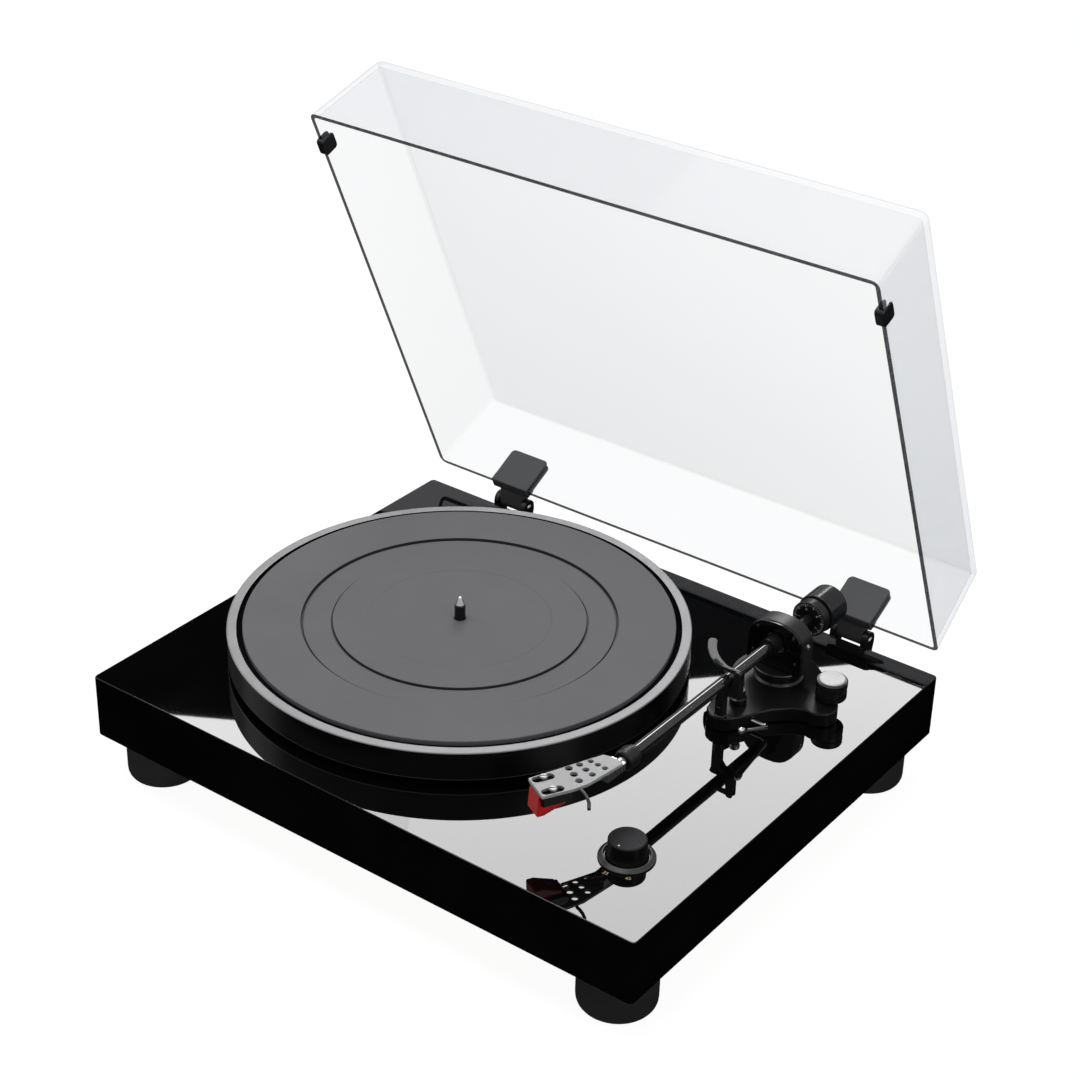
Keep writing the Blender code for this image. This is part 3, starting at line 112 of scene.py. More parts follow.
class Finish:
    """A material and the small helpers that add its grain, marks and relief."""

    def __init__(self, name, colour, rough, metal=0.0):
        self.mat = bpy.data.materials.new(name)
        self.mat.use_nodes = True
        self.tree = self.mat.node_tree
        self.shader = self.tree.nodes["Principled BSDF"]
        self.put("Base Color", (*colour, 1))
        self.put("Roughness", rough)
        self.put("Metallic", metal)
        self.relief = None

    def put(self, socket, value):
        self.shader.inputs[socket].default_value = value
        return self

    def node(self, kind, **values):
        made = self.tree.nodes.new(kind)
        for key, value in values.items():
            setattr(made, key, value)
        return made

    def link(self, a, b):
        self.tree.links.new(a, b)

    def place(self, stretch=(1, 1, 1), centre=(0, 0, 0)):
        """Object coordinates, moved so that centre is zero, then stretched."""
        coords = self.node("ShaderNodeTexCoord")
        shift = self.node("ShaderNodeMapping")
        shift.inputs["Location"].default_value = [-c for c in centre]
        self.link(coords.outputs["Object"], shift.inputs["Vector"])
        size = self.node("ShaderNodeMapping")
        size.inputs["Scale"].default_value = stretch
        self.link(shift.outputs["Vector"], size.inputs["Vector"])
        return size.outputs["Vector"]

    def radius(self, centre, axis="Z"):
        """Distance from a line through centre, for lathe marks."""
        spread = {"Z": (1, 1, 0), "Y": (1, 0, 1)}[axis]
        length = self.node("ShaderNodeVectorMath", operation="LENGTH")
        self.link(self.place(spread, centre), length.inputs[0])
        return length.outputs["Value"]

    def noise(self, vector, scale, detail=3.0, rough=0.55, one_way=False):
        tex = self.node("ShaderNodeTexNoise")
        tex.inputs["Scale"].default_value = scale
        tex.inputs["Detail"].default_value = detail
        tex.inputs["Roughness"].default_value = rough
        if one_way:
            tex.noise_dimensions = "1D"
            self.link(vector, tex.inputs["W"])
        else:
            self.link(vector, tex.inputs["Vector"])
        return tex.outputs["Fac"]

    def spread(self, value, a, b, start=0.3, end=0.7):
        """Value between start and end turned into a number between a and b."""
        ramp = self.node("ShaderNodeMapRange")
        for key, number in (("From Min", start), ("From Max", end), ("To Min", a), ("To Max", b)):
            ramp.inputs[key].default_value = number
        self.link(value, ramp.inputs["Value"])
        return ramp.outputs["Result"]

    def tone(self, value, a, b, start=0.3, end=0.7):
        mix = self.node("ShaderNodeMix", data_type="RGBA")
        mix.inputs["A"].default_value = (*a, 1)
        mix.inputs["B"].default_value = (*b, 1)
        self.link(self.spread(value, 0, 1, start, end), mix.inputs["Factor"])
        self.link(mix.outputs["Result"], self.shader.inputs["Base Color"])
        return self

    def shine(self, value, a, b, start=0.3, end=0.7):
        self.link(self.spread(value, a, b, start, end), self.shader.inputs["Roughness"])
        return self

    def bump(self, value, strength, depth):
        relief = self.node("ShaderNodeBump")
        relief.inputs["Strength"].default_value = strength
        relief.inputs["Distance"].default_value = depth
        self.link(value, relief.inputs["Height"])
        if self.relief:
            self.link(self.relief, relief.inputs["Normal"])
        self.relief = relief.outputs["Normal"]
        self.link(self.relief, self.shader.inputs["Normal"])
        return self


def grainy(name, dark, light, rough, metal=0.0, grain=900, strength=0.06, depth=0.00002, spread=0.05):
    """Moulded or painted surface with fine grain and slightly uneven tone and gloss."""
    made = Finish(name, light, rough, metal)
    fine = made.noise(made.place(), grain, 4)
    broad = made.noise(made.place(), 22, 3)
    made.tone(broad, dark, light)
    made.shine(fine, rough - spread, rough + spread)
    made.bump(fine, strength, depth)
    return made


def polished(name, colour, rough, metal=0.0, specks=700, spread=0.02):
    """Smooth gloss with faint wiping haze."""
    made = Finish(name, colour, rough, metal)
    haze = made.noise(made.place((1, 0.35, 1)), specks * 0.03, 5)
    made.shine(haze, rough, rough + spread)
    made.tone(haze, colour, [min(1, c * 1.12 + 0.001) for c in colour])
    return made


def lathed(name, dark, light, rough, metal, centre, axis="Z", pitch=2600, strength=0.15):
    """Turned surface: fine rings around its axis."""
    made = Finish(name, light, rough, metal)
    rings = made.noise(made.radius(centre, axis), pitch, 2, 0.6, one_way=True)
    cloud = made.noise(made.place(), 30, 3)
    made.tone(cloud, dark, light)
    made.shine(rings, rough - 0.07, rough + 0.07)
    made.bump(rings, strength, 0.00004)
    return made


spin = middle("platter")
knob_at = middle("speed_knob")
skate_at = middle("anti_skate_knob")
weight_at = middle("counterweight")

lacquer = polished("plinth_piano_lacquer", (0.0009, 0.0009, 0.0011), 0.012, spread=0.006)
board = grainy("base_fibreboard", (0.13, 0.085, 0.05), (0.22, 0.15, 0.09), 0.75, grain=420, depth=0.0002)
foot_skin = grainy("foot_hard_rubber", (0.010, 0.010, 0.011), (0.017, 0.017, 0.018), 0.46, grain=1500)
rim_metal = lathed(
    "rim_turned_aluminium", (0.22, 0.22, 0.225), (0.26, 0.26, 0.265), 0.44, 0.35, spin, strength=0.08
)
side_paint = grainy(
    "platter_side_paint", (0.0012, 0.0012, 0.0014), (0.002, 0.002, 0.0022), 0.24, grain=1200, spread=0.03
)
# painted shade: the channel and inner wall of the platter's silver ring are painted near black and kept
# from reflecting, to draw the shaded gap
recess_painted_shade = grainy("rim_recess_painted_shade", (0.003, 0.003, 0.0035), (0.006, 0.006, 0.0065), 0.6)
recess_painted_shade.put("Specular IOR Level", 0.0)
deck_metal = lathed("platter_cast_aluminium", (0.34, 0.34, 0.35), (0.46, 0.46, 0.47), 0.38, 1.0, spin)
# painted reflection: the spindle's body below the tip is painted dark to stand in for the dark surroundings
# it reflects; the tip stays bright steel
pin_painted_dark = lathed("spindle_painted_dark_reflection", (0.02, 0.02, 0.021), (0.035, 0.035, 0.036), 0.16, 0.8, spin)
shaft_steel = lathed("spindle_ground_steel", (0.62, 0.62, 0.64), (0.75, 0.75, 0.77), 0.14, 1.0, spin)
brass = grainy("bearing_turned_brass", (0.55, 0.36, 0.13), (0.72, 0.50, 0.20), 0.30, 1.0)
drive_grey = grainy("drive_moulded_grey", (0.10, 0.10, 0.105), (0.15, 0.15, 0.16), 0.5)
band = grainy("belt_ground_rubber", (0.012, 0.012, 0.012), (0.02, 0.02, 0.02), 0.6)
can_steel = grainy("motor_can_steel", (0.42, 0.42, 0.44), (0.52, 0.52, 0.54), 0.36, 1.0)
arm_satin = grainy(
    "arm_satin_black", (0.0035, 0.0035, 0.004), (0.006, 0.006, 0.0065), 0.30, grain=1600, spread=0.03
)
base_satin = grainy(
    "arm_base_satin", (0.0025, 0.0025, 0.003), (0.0045, 0.0045, 0.005), 0.34, grain=1600, spread=0.03
)
base_satin.put("Specular IOR Level", 0.2)
yoke_satin = grainy(
    "yoke_satin_black", (0.006, 0.006, 0.0065), (0.009, 0.009, 0.0095), 0.34, grain=1700, spread=0.03
)
arm_gloss = polished("arm_gloss_black", (0.0015, 0.0015, 0.002), 0.06, spread=0.03)
tube_gloss = polished("tube_black_lacquer", (0.006, 0.006, 0.0065), 0.035, spread=0.01)
tube_gloss.put("Specular IOR Level", 1.0)
plain_black = grainy("fitting_matte_black", (0.004, 0.004, 0.0045), (0.007, 0.007, 0.0075), 0.38)
weight_black = lathed(
    "weight_turned_black", (0.006, 0.006, 0.0065), (0.010, 0.010, 0.011), 0.27, 0.0, weight_at, "Y",
    strength=0.06,
)
shell_metal = grainy(
    "headshell_blasted_aluminium", (0.27, 0.27, 0.275), (0.32, 0.32, 0.325), 0.5, 0.25, 2200
)
screw_nickel = grainy("screw_satin_nickel", (0.20, 0.20, 0.205), (0.27, 0.27, 0.275), 0.36, 0.9)
silver = grainy("fitting_satin_silver", (0.55, 0.55, 0.56), (0.66, 0.66, 0.67), 0.24, 1.0)
cap_metal = lathed("cap_spun_silver", (0.42, 0.42, 0.425), (0.50, 0.50, 0.505), 0.42, 0.35, skate_at)
chrome = polished("fitting_polished_chrome", (0.72, 0.72, 0.74), 0.07, 1.0, spread=0.05)
guard_red = Finish("guard_clear_red", (0.60, 0.010, 0.014), 0.10)
guard_red.put("Transmission Weight", 0.45).put("IOR", 1.49)
guard_red.shine(guard_red.noise(guard_red.place(), 300), 0.08, 0.16)
tip_grey = polished("stylus_bright_metal", (0.6, 0.6, 0.66), 0.15, 1.0)
knob_top = lathed(
    "knob_spun_grey", (0.018, 0.018, 0.019), (0.026, 0.026, 0.028), 0.42, 0.1, knob_at, pitch=3600
)
knob_top.put("Specular IOR Level", 0.05)
knob_side = grainy("knob_side_black", (0.002, 0.002, 0.0025), (0.004, 0.004, 0.0045), 0.30)
knob_side.put("Specular IOR Level", 0.2)
finger_dark = polished("finger_dark_nickel", (0.05, 0.05, 0.053), 0.22, 0.8, spread=0.05)
bezel_grey = lathed("bezel_turned_grey", (0.034, 0.034, 0.036), (0.046, 0.046, 0.048), 0.3, 0.3, knob_at)
hinge_skin = grainy(
    "hinge_plate_textured", (0.038, 0.039, 0.041), (0.048, 0.049, 0.052), 0.52, grain=2400, strength=0.25
)
mark_gold = grainy("printed_pale_gold", (0.42, 0.31, 0.17), (0.5, 0.38, 0.22), 0.4)
mark_white = grainy("printed_white", (0.55, 0.55, 0.55), (0.7, 0.7, 0.7), 0.45)
ring_white = grainy("socket_ring_white", (0.66, 0.66, 0.64), (0.78, 0.78, 0.76), 0.35)
ring_red = grainy("socket_ring_red", (0.42, 0.014, 0.014), (0.52, 0.02, 0.02), 0.35)
gold = grainy("contact_gold", (0.62, 0.42, 0.14), (0.8, 0.58, 0.22), 0.24, 1.0)

# rubber mat: fine grain, a faint cloudy bloom and slow rings from the mould
mat_rubber = Finish("mat_moulded_rubber", (0.12, 0.12, 0.122), 0.62)
bloom = mat_rubber.noise(mat_rubber.place(), 9, 5, 0.6)
mat_rubber.tone(bloom, (0.098, 0.095, 0.101), (0.124, 0.120, 0.128), 0.35, 0.65)
mat_rubber.put("Specular IOR Level", 0.3)
mat_grain = mat_rubber.noise(mat_rubber.place(), 1900, 4)
mat_rubber.shine(bloom, 0.56, 0.68)
mat_rubber.bump(mat_grain, 0.22, 0.00008)
mat_rings = mat_rubber.noise(mat_rubber.radius(spin), 1500, 2, 0.5, one_way=True)
mat_rubber.bump(mat_rings, 0.06, 0.00006)

# clear lid: see-through sheet, denser where it is seen edge on; its sawn rim and the bend round the far
# panel are painted dark as painted reflection


def clear(name, facing, grazed):
    """Thin clear sheet whose veil thickens from facing to grazing view."""
    made = Finish(name, (0.52, 0.56, 0.62), 0.03)
    made.put("IOR", 1.49)
    grazing = made.node("ShaderNodeLayerWeight")
    grazing.inputs["Blend"].default_value = 0.35
    veil = made.spread(grazing.outputs["Facing"], facing, grazed, 0.26, 0.95)
    made.link(veil, made.shader.inputs["Alpha"])
    made.shine(made.noise(made.place(), 6), 0.02, 0.05)
    return made


acrylic = clear("lid_clear_acrylic", 0.055, 0.58)
acrylic_wall = clear("lid_clear_wall", 0.08, 0.38)
# painted reflection: the bend round the far panel is painted dark and faint to draw the dark line that
# grazing reflection makes
bend_painted_dark = Finish("lid_bend_painted_reflection", (0.04, 0.042, 0.047), 0.2)
bend_painted_dark.put("Specular IOR Level", 0.1)
edge_cloud = bend_painted_dark.noise(bend_painted_dark.place(), 12)
bend_painted_dark.link(bend_painted_dark.spread(edge_cloud, 0.11, 0.17), bend_painted_dark.shader.inputs["Alpha"])
# painted reflection: the rim is painted near black and almost opaque to draw the dark line that its
# reflections make
rim_painted_dark = Finish("lid_rim_painted_reflection", (0.006, 0.006, 0.007), 0.22)
rim_painted_dark.shine(rim_painted_dark.noise(rim_painted_dark.place(), 500), 0.18, 0.3)
rim_painted_dark.put("Alpha", 0.93)

# ---------------------------------------------------------------- making pieces


def settle(bm, crease=34, smooth=True):
    """Outward normals, smooth faces and sharp edges where the surface turns."""
    bmesh.ops.recalc_face_normals(bm, faces=bm.faces)
    if bm.calc_volume(signed=True) < 0:
        bmesh.ops.reverse_faces(bm, faces=bm.faces)
    for face in bm.faces:
        face.smooth = smooth
    for edge in bm.edges:
        edge.smooth = edge.calc_face_angle(pi) < radians(crease)


def piece(name, bm, finishes, body, stands_for=(), weighted=True, crease=34):
    settle(bm, crease)
    mesh = bpy.data.meshes.new(name)
    bm.to_mesh(mesh)
    bm.free()
    for item in finishes:
        mesh.materials.append(item.mat)
    obj = bpy.data.objects.new(name, mesh)
    bpy.context.scene.collection.objects.link(obj)
    if weighted:
        even = obj.modifiers.new("even_normals", "WEIGHTED_NORMAL")
        even.keep_sharp = True
        even.weight = 80
    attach(obj, body)
    if stands_for:
        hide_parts(*stands_for)
    return obj


def body_of(node):
    return nodes[node]["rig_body"]


def dressed(node, finish, name=None, edge=0.0, crease=34, extra=(), choose=None):
    """The CAD solid as a clean welded mesh with smooth shading and softened edges."""
    bm = bmesh.new()
    bm.from_mesh(nodes[node].data)
    bmesh.ops.remove_doubles(bm, verts=bm.verts, dist=2e-6)
    bmesh.ops.dissolve_limit(bm, angle_limit=radians(0.6), verts=bm.verts, edges=bm.edges)
    if edge:
        sharp = [e for e in bm.edges if e.calc_face_angle(0) > radians(50)]
        bmesh.ops.bevel(
            bm, geom=sharp, offset=edge, segments=2, profile=0.6, affect="EDGES", clamp_overlap=True
        )
    for face in bm.faces:
        face.material_index = 0
        if choose:
            face.material_index = choose(face)
    return piece(name or node + "_dressed", bm, [finish, *extra], body_of(node), (node,), True, crease)


def eased(profile, steps=4):
    """Profile corners (radius, height, ease) rounded over the distance ease."""
    out = []
    count = len(profile)
    for i, (r, z, ease) in enumerate(profile):
        here = Vector((r, z))
        if not ease or i in (0, count - 1):
            out.append(here)
            continue
        before = Vector(profile[i - 1][:2])
        after = Vector(profile[i + 1][:2])
        a = here + (before - here).normalized() * ease
        b = here + (after - here).normalized() * ease
        for k in range(steps + 1):
            t = k / steps
            out.append(a * (1 - t) ** 2 + here * 2 * t * (1 - t) + b * t * t)
    return out


def spun(bm, profile, place, steps=96, slots=None, closed=False):
    """Turned skin round the Z axis of place. slots gives the finish of the stretch between two points."""
    points = [Vector((r * MM, 0, z * MM)) for r, z in profile]
    rings = []
    for p in points:
        if p.x < 1e-9:
            rings.append([bm.verts.new(place @ p)])
            continue
        ring = []
        for i in range(steps):
            a = 2 * pi * i / steps
            ring.append(bm.verts.new(place @ Vector((p.x * cos(a), p.x * sin(a), p.z))))
        rings.append(ring)
    pairs = list(zip(range(len(rings)), range(1, len(rings))))
    if closed:
        pairs.append((len(rings) - 1, 0))
    for a, b in pairs:
        one, two = rings[a], rings[b]
        slot = slots(points[a], points[b]) if slots else 0
        for i in range(steps):
            j = (i + 1) % steps
            corners = [one[i % len(one)], one[j % len(one)], two[j % len(two)], two[i % len(two)]]
            unique = list(dict.fromkeys(corners))
            if len(unique) > 2:
                face = bm.faces.new(unique)
                face.material_index = slot
    return bm


def upright(point):
    return Matrix.Translation(point)


def lying(point):
    """Turning axis along +Y."""
    return Matrix.Translation(point) @ Matrix.Rotation(-pi / 2, 4, "X")


def block(bm, size, place):
    made = bmesh.ops.create_cube(bm, size=1.0)["verts"]
    for vert in made:
        vert.co = place @ Vector([vert.co[i] * size[i] for i in range(3)])
    return made


def slab(bm, corners, way):
    """Closed plate between an outline and its copy moved by way."""
    skin = [bm.verts.new(corner) for corner in corners]
    far = bmesh.ops.extrude_face_region(bm, geom=[bm.faces.new(skin)])["geom"]
    bmesh.ops.translate(bm, vec=way, verts=[v for v in far if isinstance(v, bmesh.types.BMVert)])


def soften(bm, offset, segments, angle=1.0, clamp=False):
    """Edges that turn by more than angle bevelled by offset, in millimetres."""
    sharp = [e for e in bm.edges if e.calc_face_angle(0) > angle]
    bmesh.ops.bevel(
        bm, geom=sharp, offset=offset * MM, segments=segments, affect="EDGES", clamp_overlap=clamp
    )


# ---------------------------------------------------------------- repeated ribs, ticks and screws


def ring_tree():
    """Count small bars on a circle, each with its long side pointing outwards."""
    tree = bpy.data.node_groups.new("bars_on_a_ring", "GeometryNodeTree")
    face = tree.interface
    face.new_socket("Geometry", in_out="INPUT", socket_type="NodeSocketGeometry")
    face.new_socket("Count", in_out="INPUT", socket_type="NodeSocketInt")
    face.new_socket("Ring Radius", in_out="INPUT", socket_type="NodeSocketFloat")
    face.new_socket("Bar Size", in_out="INPUT", socket_type="NodeSocketVector")
    face.new_socket("Finish", in_out="INPUT", socket_type="NodeSocketMaterial")
    face.new_socket("Geometry", in_out="OUTPUT", socket_type="NodeSocketGeometry")
    new, link = tree.nodes.new, tree.links.new
    given, result = new("NodeGroupInput"), new("NodeGroupOutput")
    circle = new("GeometryNodeMeshCircle")
    link(given.outputs["Count"], circle.inputs["Vertices"])
    link(given.outputs["Ring Radius"], circle.inputs["Radius"])
    bar = new("GeometryNodeMeshCube")
    link(given.outputs["Bar Size"], bar.inputs["Size"])
    where = new("GeometryNodeInputPosition")
    aim = new("FunctionNodeAlignRotationToVector")
    aim.axis = "X"
    link(where.outputs["Position"], aim.inputs["Vector"])
    copies = new("GeometryNodeInstanceOnPoints")
    link(circle.outputs["Mesh"], copies.inputs["Points"])
    link(bar.outputs["Mesh"], copies.inputs["Instance"])
    link(aim.outputs["Rotation"], copies.inputs["Rotation"])
    real = new("GeometryNodeRealizeInstances")
    link(copies.outputs["Instances"], real.inputs["Geometry"])
    paint = new("GeometryNodeSetMaterial")
    link(real.outputs["Geometry"], paint.inputs["Geometry"])
    link(given.outputs["Finish"], paint.inputs["Material"])
    link(paint.outputs["Geometry"], result.inputs["Geometry"])
    return tree


RING = ring_tree()


def ring_of(name, count, radius, size, place, finish, body, ease=0.0):
    """Bars on a circle as a plain mesh; sizes in millimetres."""
    holder = bpy.data.objects.new(name, bpy.data.meshes.new(name))
    bpy.context.scene.collection.objects.link(holder)
    mod = holder.modifiers.new("ring", "NODES")
    mod.node_group = RING
    values = {
        "Count": count,
        "Ring Radius": radius * MM,
        "Bar Size": [s * MM for s in size],
        "Finish": finish.mat,
    }
    for item in RING.interface.items_tree:
        if item.item_type == "SOCKET" and item.in_out == "INPUT" and item.name in values:
            mod[item.identifier] = values[item.name]
    view = bpy.context.evaluated_depsgraph_get()
    mesh = bpy.data.meshes.new_from_object(holder.evaluated_get(view))
    bpy.data.objects.remove(holder)
    bm = bmesh.new()
    bm.from_mesh(mesh)
    bmesh.ops.transform(bm, matrix=place, verts=bm.verts)
    if ease:
        bmesh.ops.bevel(bm, geom=bm.edges[:], offset=ease * MM, segments=1, affect="EDGES")
    return piece(name, bm, [finish], body, crease=50)


def tube(name, points, radius, finish, body, sides=4, radii=None, stands_for=()):
    """Round wire along a smooth curve through points in the world frame."""
    curve = bpy.data.curves.new(name, "CURVE")
    curve.dimensions = "3D"
    curve.bevel_depth = radius * MM
    curve.bevel_resolution = sides
    curve.use_fill_caps = True
    curve.resolution_u = 10
    spline = curve.splines.new("NURBS")
    spline.points.add(len(points) - 1)
    for i, point in enumerate(points):
        spline.points[i].co = (*point, 1)
        spline.points[i].radius = radii[i] if radii else 1.0
    spline.order_u = min(4, len(points))
    spline.use_endpoint_u = True
    holder = bpy.data.objects.new(name, curve)
    bpy.context.scene.collection.objects.link(holder)
    view = bpy.context.evaluated_depsgraph_get()
    mesh = bpy.data.meshes.new_from_object(holder.evaluated_get(view))
    bpy.data.objects.remove(holder)
    bm = bmesh.new()
    bm.from_mesh(mesh)
    bmesh.ops.remove_doubles(bm, verts=bm.verts, dist=1e-7)
    return piece(name, bm, [finish], body, stands_for, weighted=False, crease=60)


def letters(name, words, size, place, finish, body, depth=0.06):
    """Printed or engraved figures: words is a list of (text, placement in millimetres)."""
    bm = bmesh.new()
    for text, spot in words:
        curve = bpy.data.curves.new(name, "FONT")
        curve.body = text
        curve.size = size * MM
        curve.align_x = "CENTER"
        curve.align_y = "CENTER"
        curve.extrude = depth / 2 * MM
        holder = bpy.data.objects.new(name, curve)
        bpy.context.scene.collection.objects.link(holder)
        view = bpy.context.evaluated_depsgraph_get()
        mesh = bpy.data.meshes.new_from_object(holder.evaluated_get(view))
        bpy.data.objects.remove(holder)
        mesh.transform(place @ spot)
        bm.from_mesh(mesh)
    bmesh.ops.remove_doubles(bm, verts=bm.verts, dist=1e-7)
    return piece(name, bm, [finish], body, weighted=False, crease=20)


# ---------------------------------------------------------------- plinth, feet and back

dressed("plinth", lacquer, "plinth_box")
dressed("bottom_cover", board, "plinth_base_board", edge=0.0004)
for corner in ("front_left", "front_right", "rear_left", "rear_right"):
    foot = middle("foot_" + corner)
    floor_z = low("foot_" + corner).z
    sole = upright(Vector((foot.x, foot.y, floor_z)))
    r = radius_of("foot_" + corner)
    h = (high("foot_" + corner).z - floor_z) / MM
    skin = bmesh.new()
    shape = [
        (0, h, 0), (r - 0.6, h, 0), (r, h - 0.6, 0.3), (r, h - 3.2, 0.2), (r - 0.5, h - 3.6, 0.2),
        (r - 0.5, h - 4.4, 0.2), (r, h - 4.8, 0.2), (r, 0, 6.4), (8, 0, 0.6), (7, 5, 0.6), (0, 5, 0),
    ]
    spun(skin, eased(shape, 6), sole, 96)
    piece("foot_turned_" + corner, skin, [foot_skin], "chassis", ("foot_" + corner,))
    pad = bmesh.new()
    ring = [(9, 0.02, 0), (9, 0.5, 0.2), (16.5, 0.5, 0.2), (16.5, 0.02, 0)]
    spun(pad, [Vector(p[:2]) for p in ring], sole, 48, closed=True)
    piece("foot_felt_ring_" + corner, pad, [band], "chassis")

dressed("rear_panel", plain_black, edge=0.0003)
dressed("signal_socket_left", ring_white)
dressed("signal_socket_right", ring_red)
dressed("ground_post", gold)
dressed("power_socket", plain_black)
socket_y = high("rear_panel").y
for side in ("left", "right"):
    spot = middle("signal_socket_" + side)
    core = bmesh.new()
    shell = [(1.0, -8.5, 0), (1.0, 3.4, 0.3), (1.7, 3.4, 0.3), (1.7, -8.5, 0)]
    spun(core, eased(shell, 3), lying(Vector((spot.x, socket_y, spot.z))), 32, closed=True)
    piece("signal_contact_" + side, core, [gold], "chassis")

# printed speed marks in front of the knob
letters(
    "speed_marks",
    [
        ("33", Matrix.Translation(deck(371.2, 40.6, 0.03))),
        ("45", Matrix.Translation(deck(384.2, 44.6, 0.03)) @ Matrix.Rotation(radians(36), 4, "Z")),
    ],
    3.6,
    Matrix.Identity(4),
    mark_gold,
    "chassis",
)

# ---------------------------------------------------------------- platter and drive

rim = radius_of("platter")
top = top_of("platter")
bottom = bottom_of("platter")
ring_inside = rim - 6.4
centre = upright(Vector((spin.x, spin.y, TOP)))


def platter_slot(a, b):
    """Side paint is 0, the silver ring 1, bare metal 2 and the recess inside the ring 3, which is painted
    near black without reflection as painted shade.
    """
    r, z = (a.x + b.x) / 2 / MM, (a.z + b.z) / 2 / MM
    if r > rim - 6.3 and z > top - 0.9:
        return 1
    if rim - 10 < r < rim - 2 and z > top - 3:
        return 3
    if r > rim - 14 and z > bottom + 2:
        return 0
    return 2


disc = bmesh.new()
shape = [
    (4.8, top - 2, 0), (rim - 12, top - 2, 0), (ring_inside, top - 2, 0.15), (ring_inside, top, 0.35),
    (rim - 5.8, top, 0), (rim - 1.2, top, 0), (rim, top, 0.8), (rim, bottom, 0.9),
    (rim - 11, bottom, 0.8), (rim - 14, 17.6, 3), (68, 17.6, 1), (66, 16.6, 0.2), (4.8, 16.6, 0),
]
spun(disc, eased(shape, 4), centre, 192, platter_slot, closed=True)
disc_finishes = [side_paint, rim_metal, deck_metal, recess_painted_shade]
piece("platter_turned", disc, disc_finishes, "turning_platter", ("platter",))

mat_edge = radius_of("platter_mat")
mat_top = top_of("platter_mat")
mat_low = bottom_of("platter_mat")
sheet = bmesh.new()
shape = [
    (3.9, mat_low, 0), (3.9, mat_top - 0.3, 0.3), (58.6, mat_top - 0.3, 0.4), (59.6, mat_top, 0.4),
    (81.6, mat_top, 0.3), (81.8, mat_top - 1.9, 0.1), (82.6, mat_top - 1.9, 0.1),
    (82.8, mat_top - 1.3, 0.2), (100.6, mat_top - 1.3, 0.3), (100.8, mat_top - 2.3, 0.1),
    (102.0, mat_top - 2.3, 0.1), (102.2, mat_top, 0.3), (mat_edge, mat_top, 0.7), (mat_edge, mat_low, 0.2),
]


def groove_slot(a, b):
    """The grooves' floors and walls are 1, painted near black as painted shade, and the rest of the mat is
    0.
    """
    deep = mat_low * MM + 1e-6 < a.z and min(a.z, b.z) < (mat_top - 1.5) * MM
    return 1 if deep and max(a.x, b.x) < 110 * MM else 0


spun(sheet, eased(shape, 4), centre, 192, groove_slot, closed=True)
# painted shade: the grooves' floors and walls take the near-black belt rubber
piece("platter_mat_moulded", sheet, [mat_rubber, band], "turning_platter", ("platter_mat",))

tip = top_of("spindle")
pin = bmesh.new()
shape = [
    (0, tip, 0), (1.0, tip, 0.6), (3.3, tip - 5.2, 0.4), (3.3, tip - 5.7, 0.1), (3.6, tip - 6.0, 0.2),
    (3.6, mat_top - 4, 0.2), (3.9, 16, 0.2), (3.9, -20, 0.5), (2, -22, 0.3), (0, -22, 0),
]
# painted reflection: the body below the tip takes the dark finish and the tip takes the bright steel
spun(pin, eased(shape, 4), centre, 64, lambda a, b: 1 if max(a.z, b.z) < (tip - 5.4) * MM else 0)
piece("spindle_ground", pin, [shaft_steel, pin_painted_dark], "turning_platter", ("spindle",))
dressed("bearing_housing", brass)
dressed("sub_platter", drive_grey)
dressed("drive_belt", band)
dressed("motor", can_steel)
dressed("motor_plate", arm_satin)
dressed("motor_pulley", brass)

# ---------------------------------------------------------------- arm base and its fittings

dressed("arm_base", base_satin, "arm_base_casting", crease=40)
dressed("turret", arm_satin, "arm_turret")
dressed("pivot_shaft", shaft_steel)
dressed("gimbal_yoke", yoke_satin, "gimbal_yoke_arch", crease=40)
dressed("gimbal_cover", arm_gloss, "gimbal_face_plate", edge=0.0003)
dressed("pivot_screw_left", silver)
dressed("pivot_screw_right", silver)
dressed("gimbal_barrel", arm_satin, "gimbal_barrel_turned")
dressed("lift_cylinder", arm_satin)
dressed("lift_piston", chrome, "lift_piston_dome")
dressed("cue_lever", chrome, "cue_lever_rod", crease=60)
dressed("arm_rest", plain_black, "arm_rest_bracket", crease=40)
dressed("arm_clip", plain_black, "arm_rest_clip", crease=40)

bar_low, bar_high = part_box("lift_bar")
pivot_at = middle("pivot_shaft")
piston_at = middle("lift_piston")
horn_out, horn_in = 45.8, 40.2
arc = [(radians(a), horn_out) for a in range(204, 259, 2)]
arc += [(radians(a), horn_in) for a in range(258, 203, -2)]
arc += [(radians(201.6), 41.6), (radians(201.6), 44.4)]
horn = bmesh.new()
horn_line = [(pivot_at.x + r * MM * cos(a), pivot_at.y + r * MM * sin(a), bar_low.z) for a, r in arc]
slab(horn, horn_line, (0, 0, bar_high.z - bar_low.z))
for size, dx, dz in (((6.4, 3.4, 1.2), -1.6, -4.6), ((1.4, 3.4, 5.6), -4.6, -2.2)):
    spot = Vector((piston_at.x + dx * MM, piston_at.y, bar_low.z + dz * MM))
    block(horn, [side * MM for side in size], Matrix.Translation(spot))
soften(horn, 0.4, 2)
piece("lift_bar_horn", horn, [plain_black], "cue_lift", ("lift_bar",))

post = bmesh.new()
base_top = top_of("arm_base")
shape = [
    (0, base_top + 7, 0), (3.1, base_top + 7, 0.4), (3.1, base_top + 1.2, 0.3), (3.9, base_top + 0.6, 0.3),
    (3.9, base_top + 0.02, 0.1), (0, base_top + 0.02, 0),
]
spun(post, eased(shape, 4), upright(Vector((pivot_at.x - 3.5 * MM, middle("arm_clip").y, TOP))), 48)
piece("arm_rest_post", post, [arm_satin], "chassis")

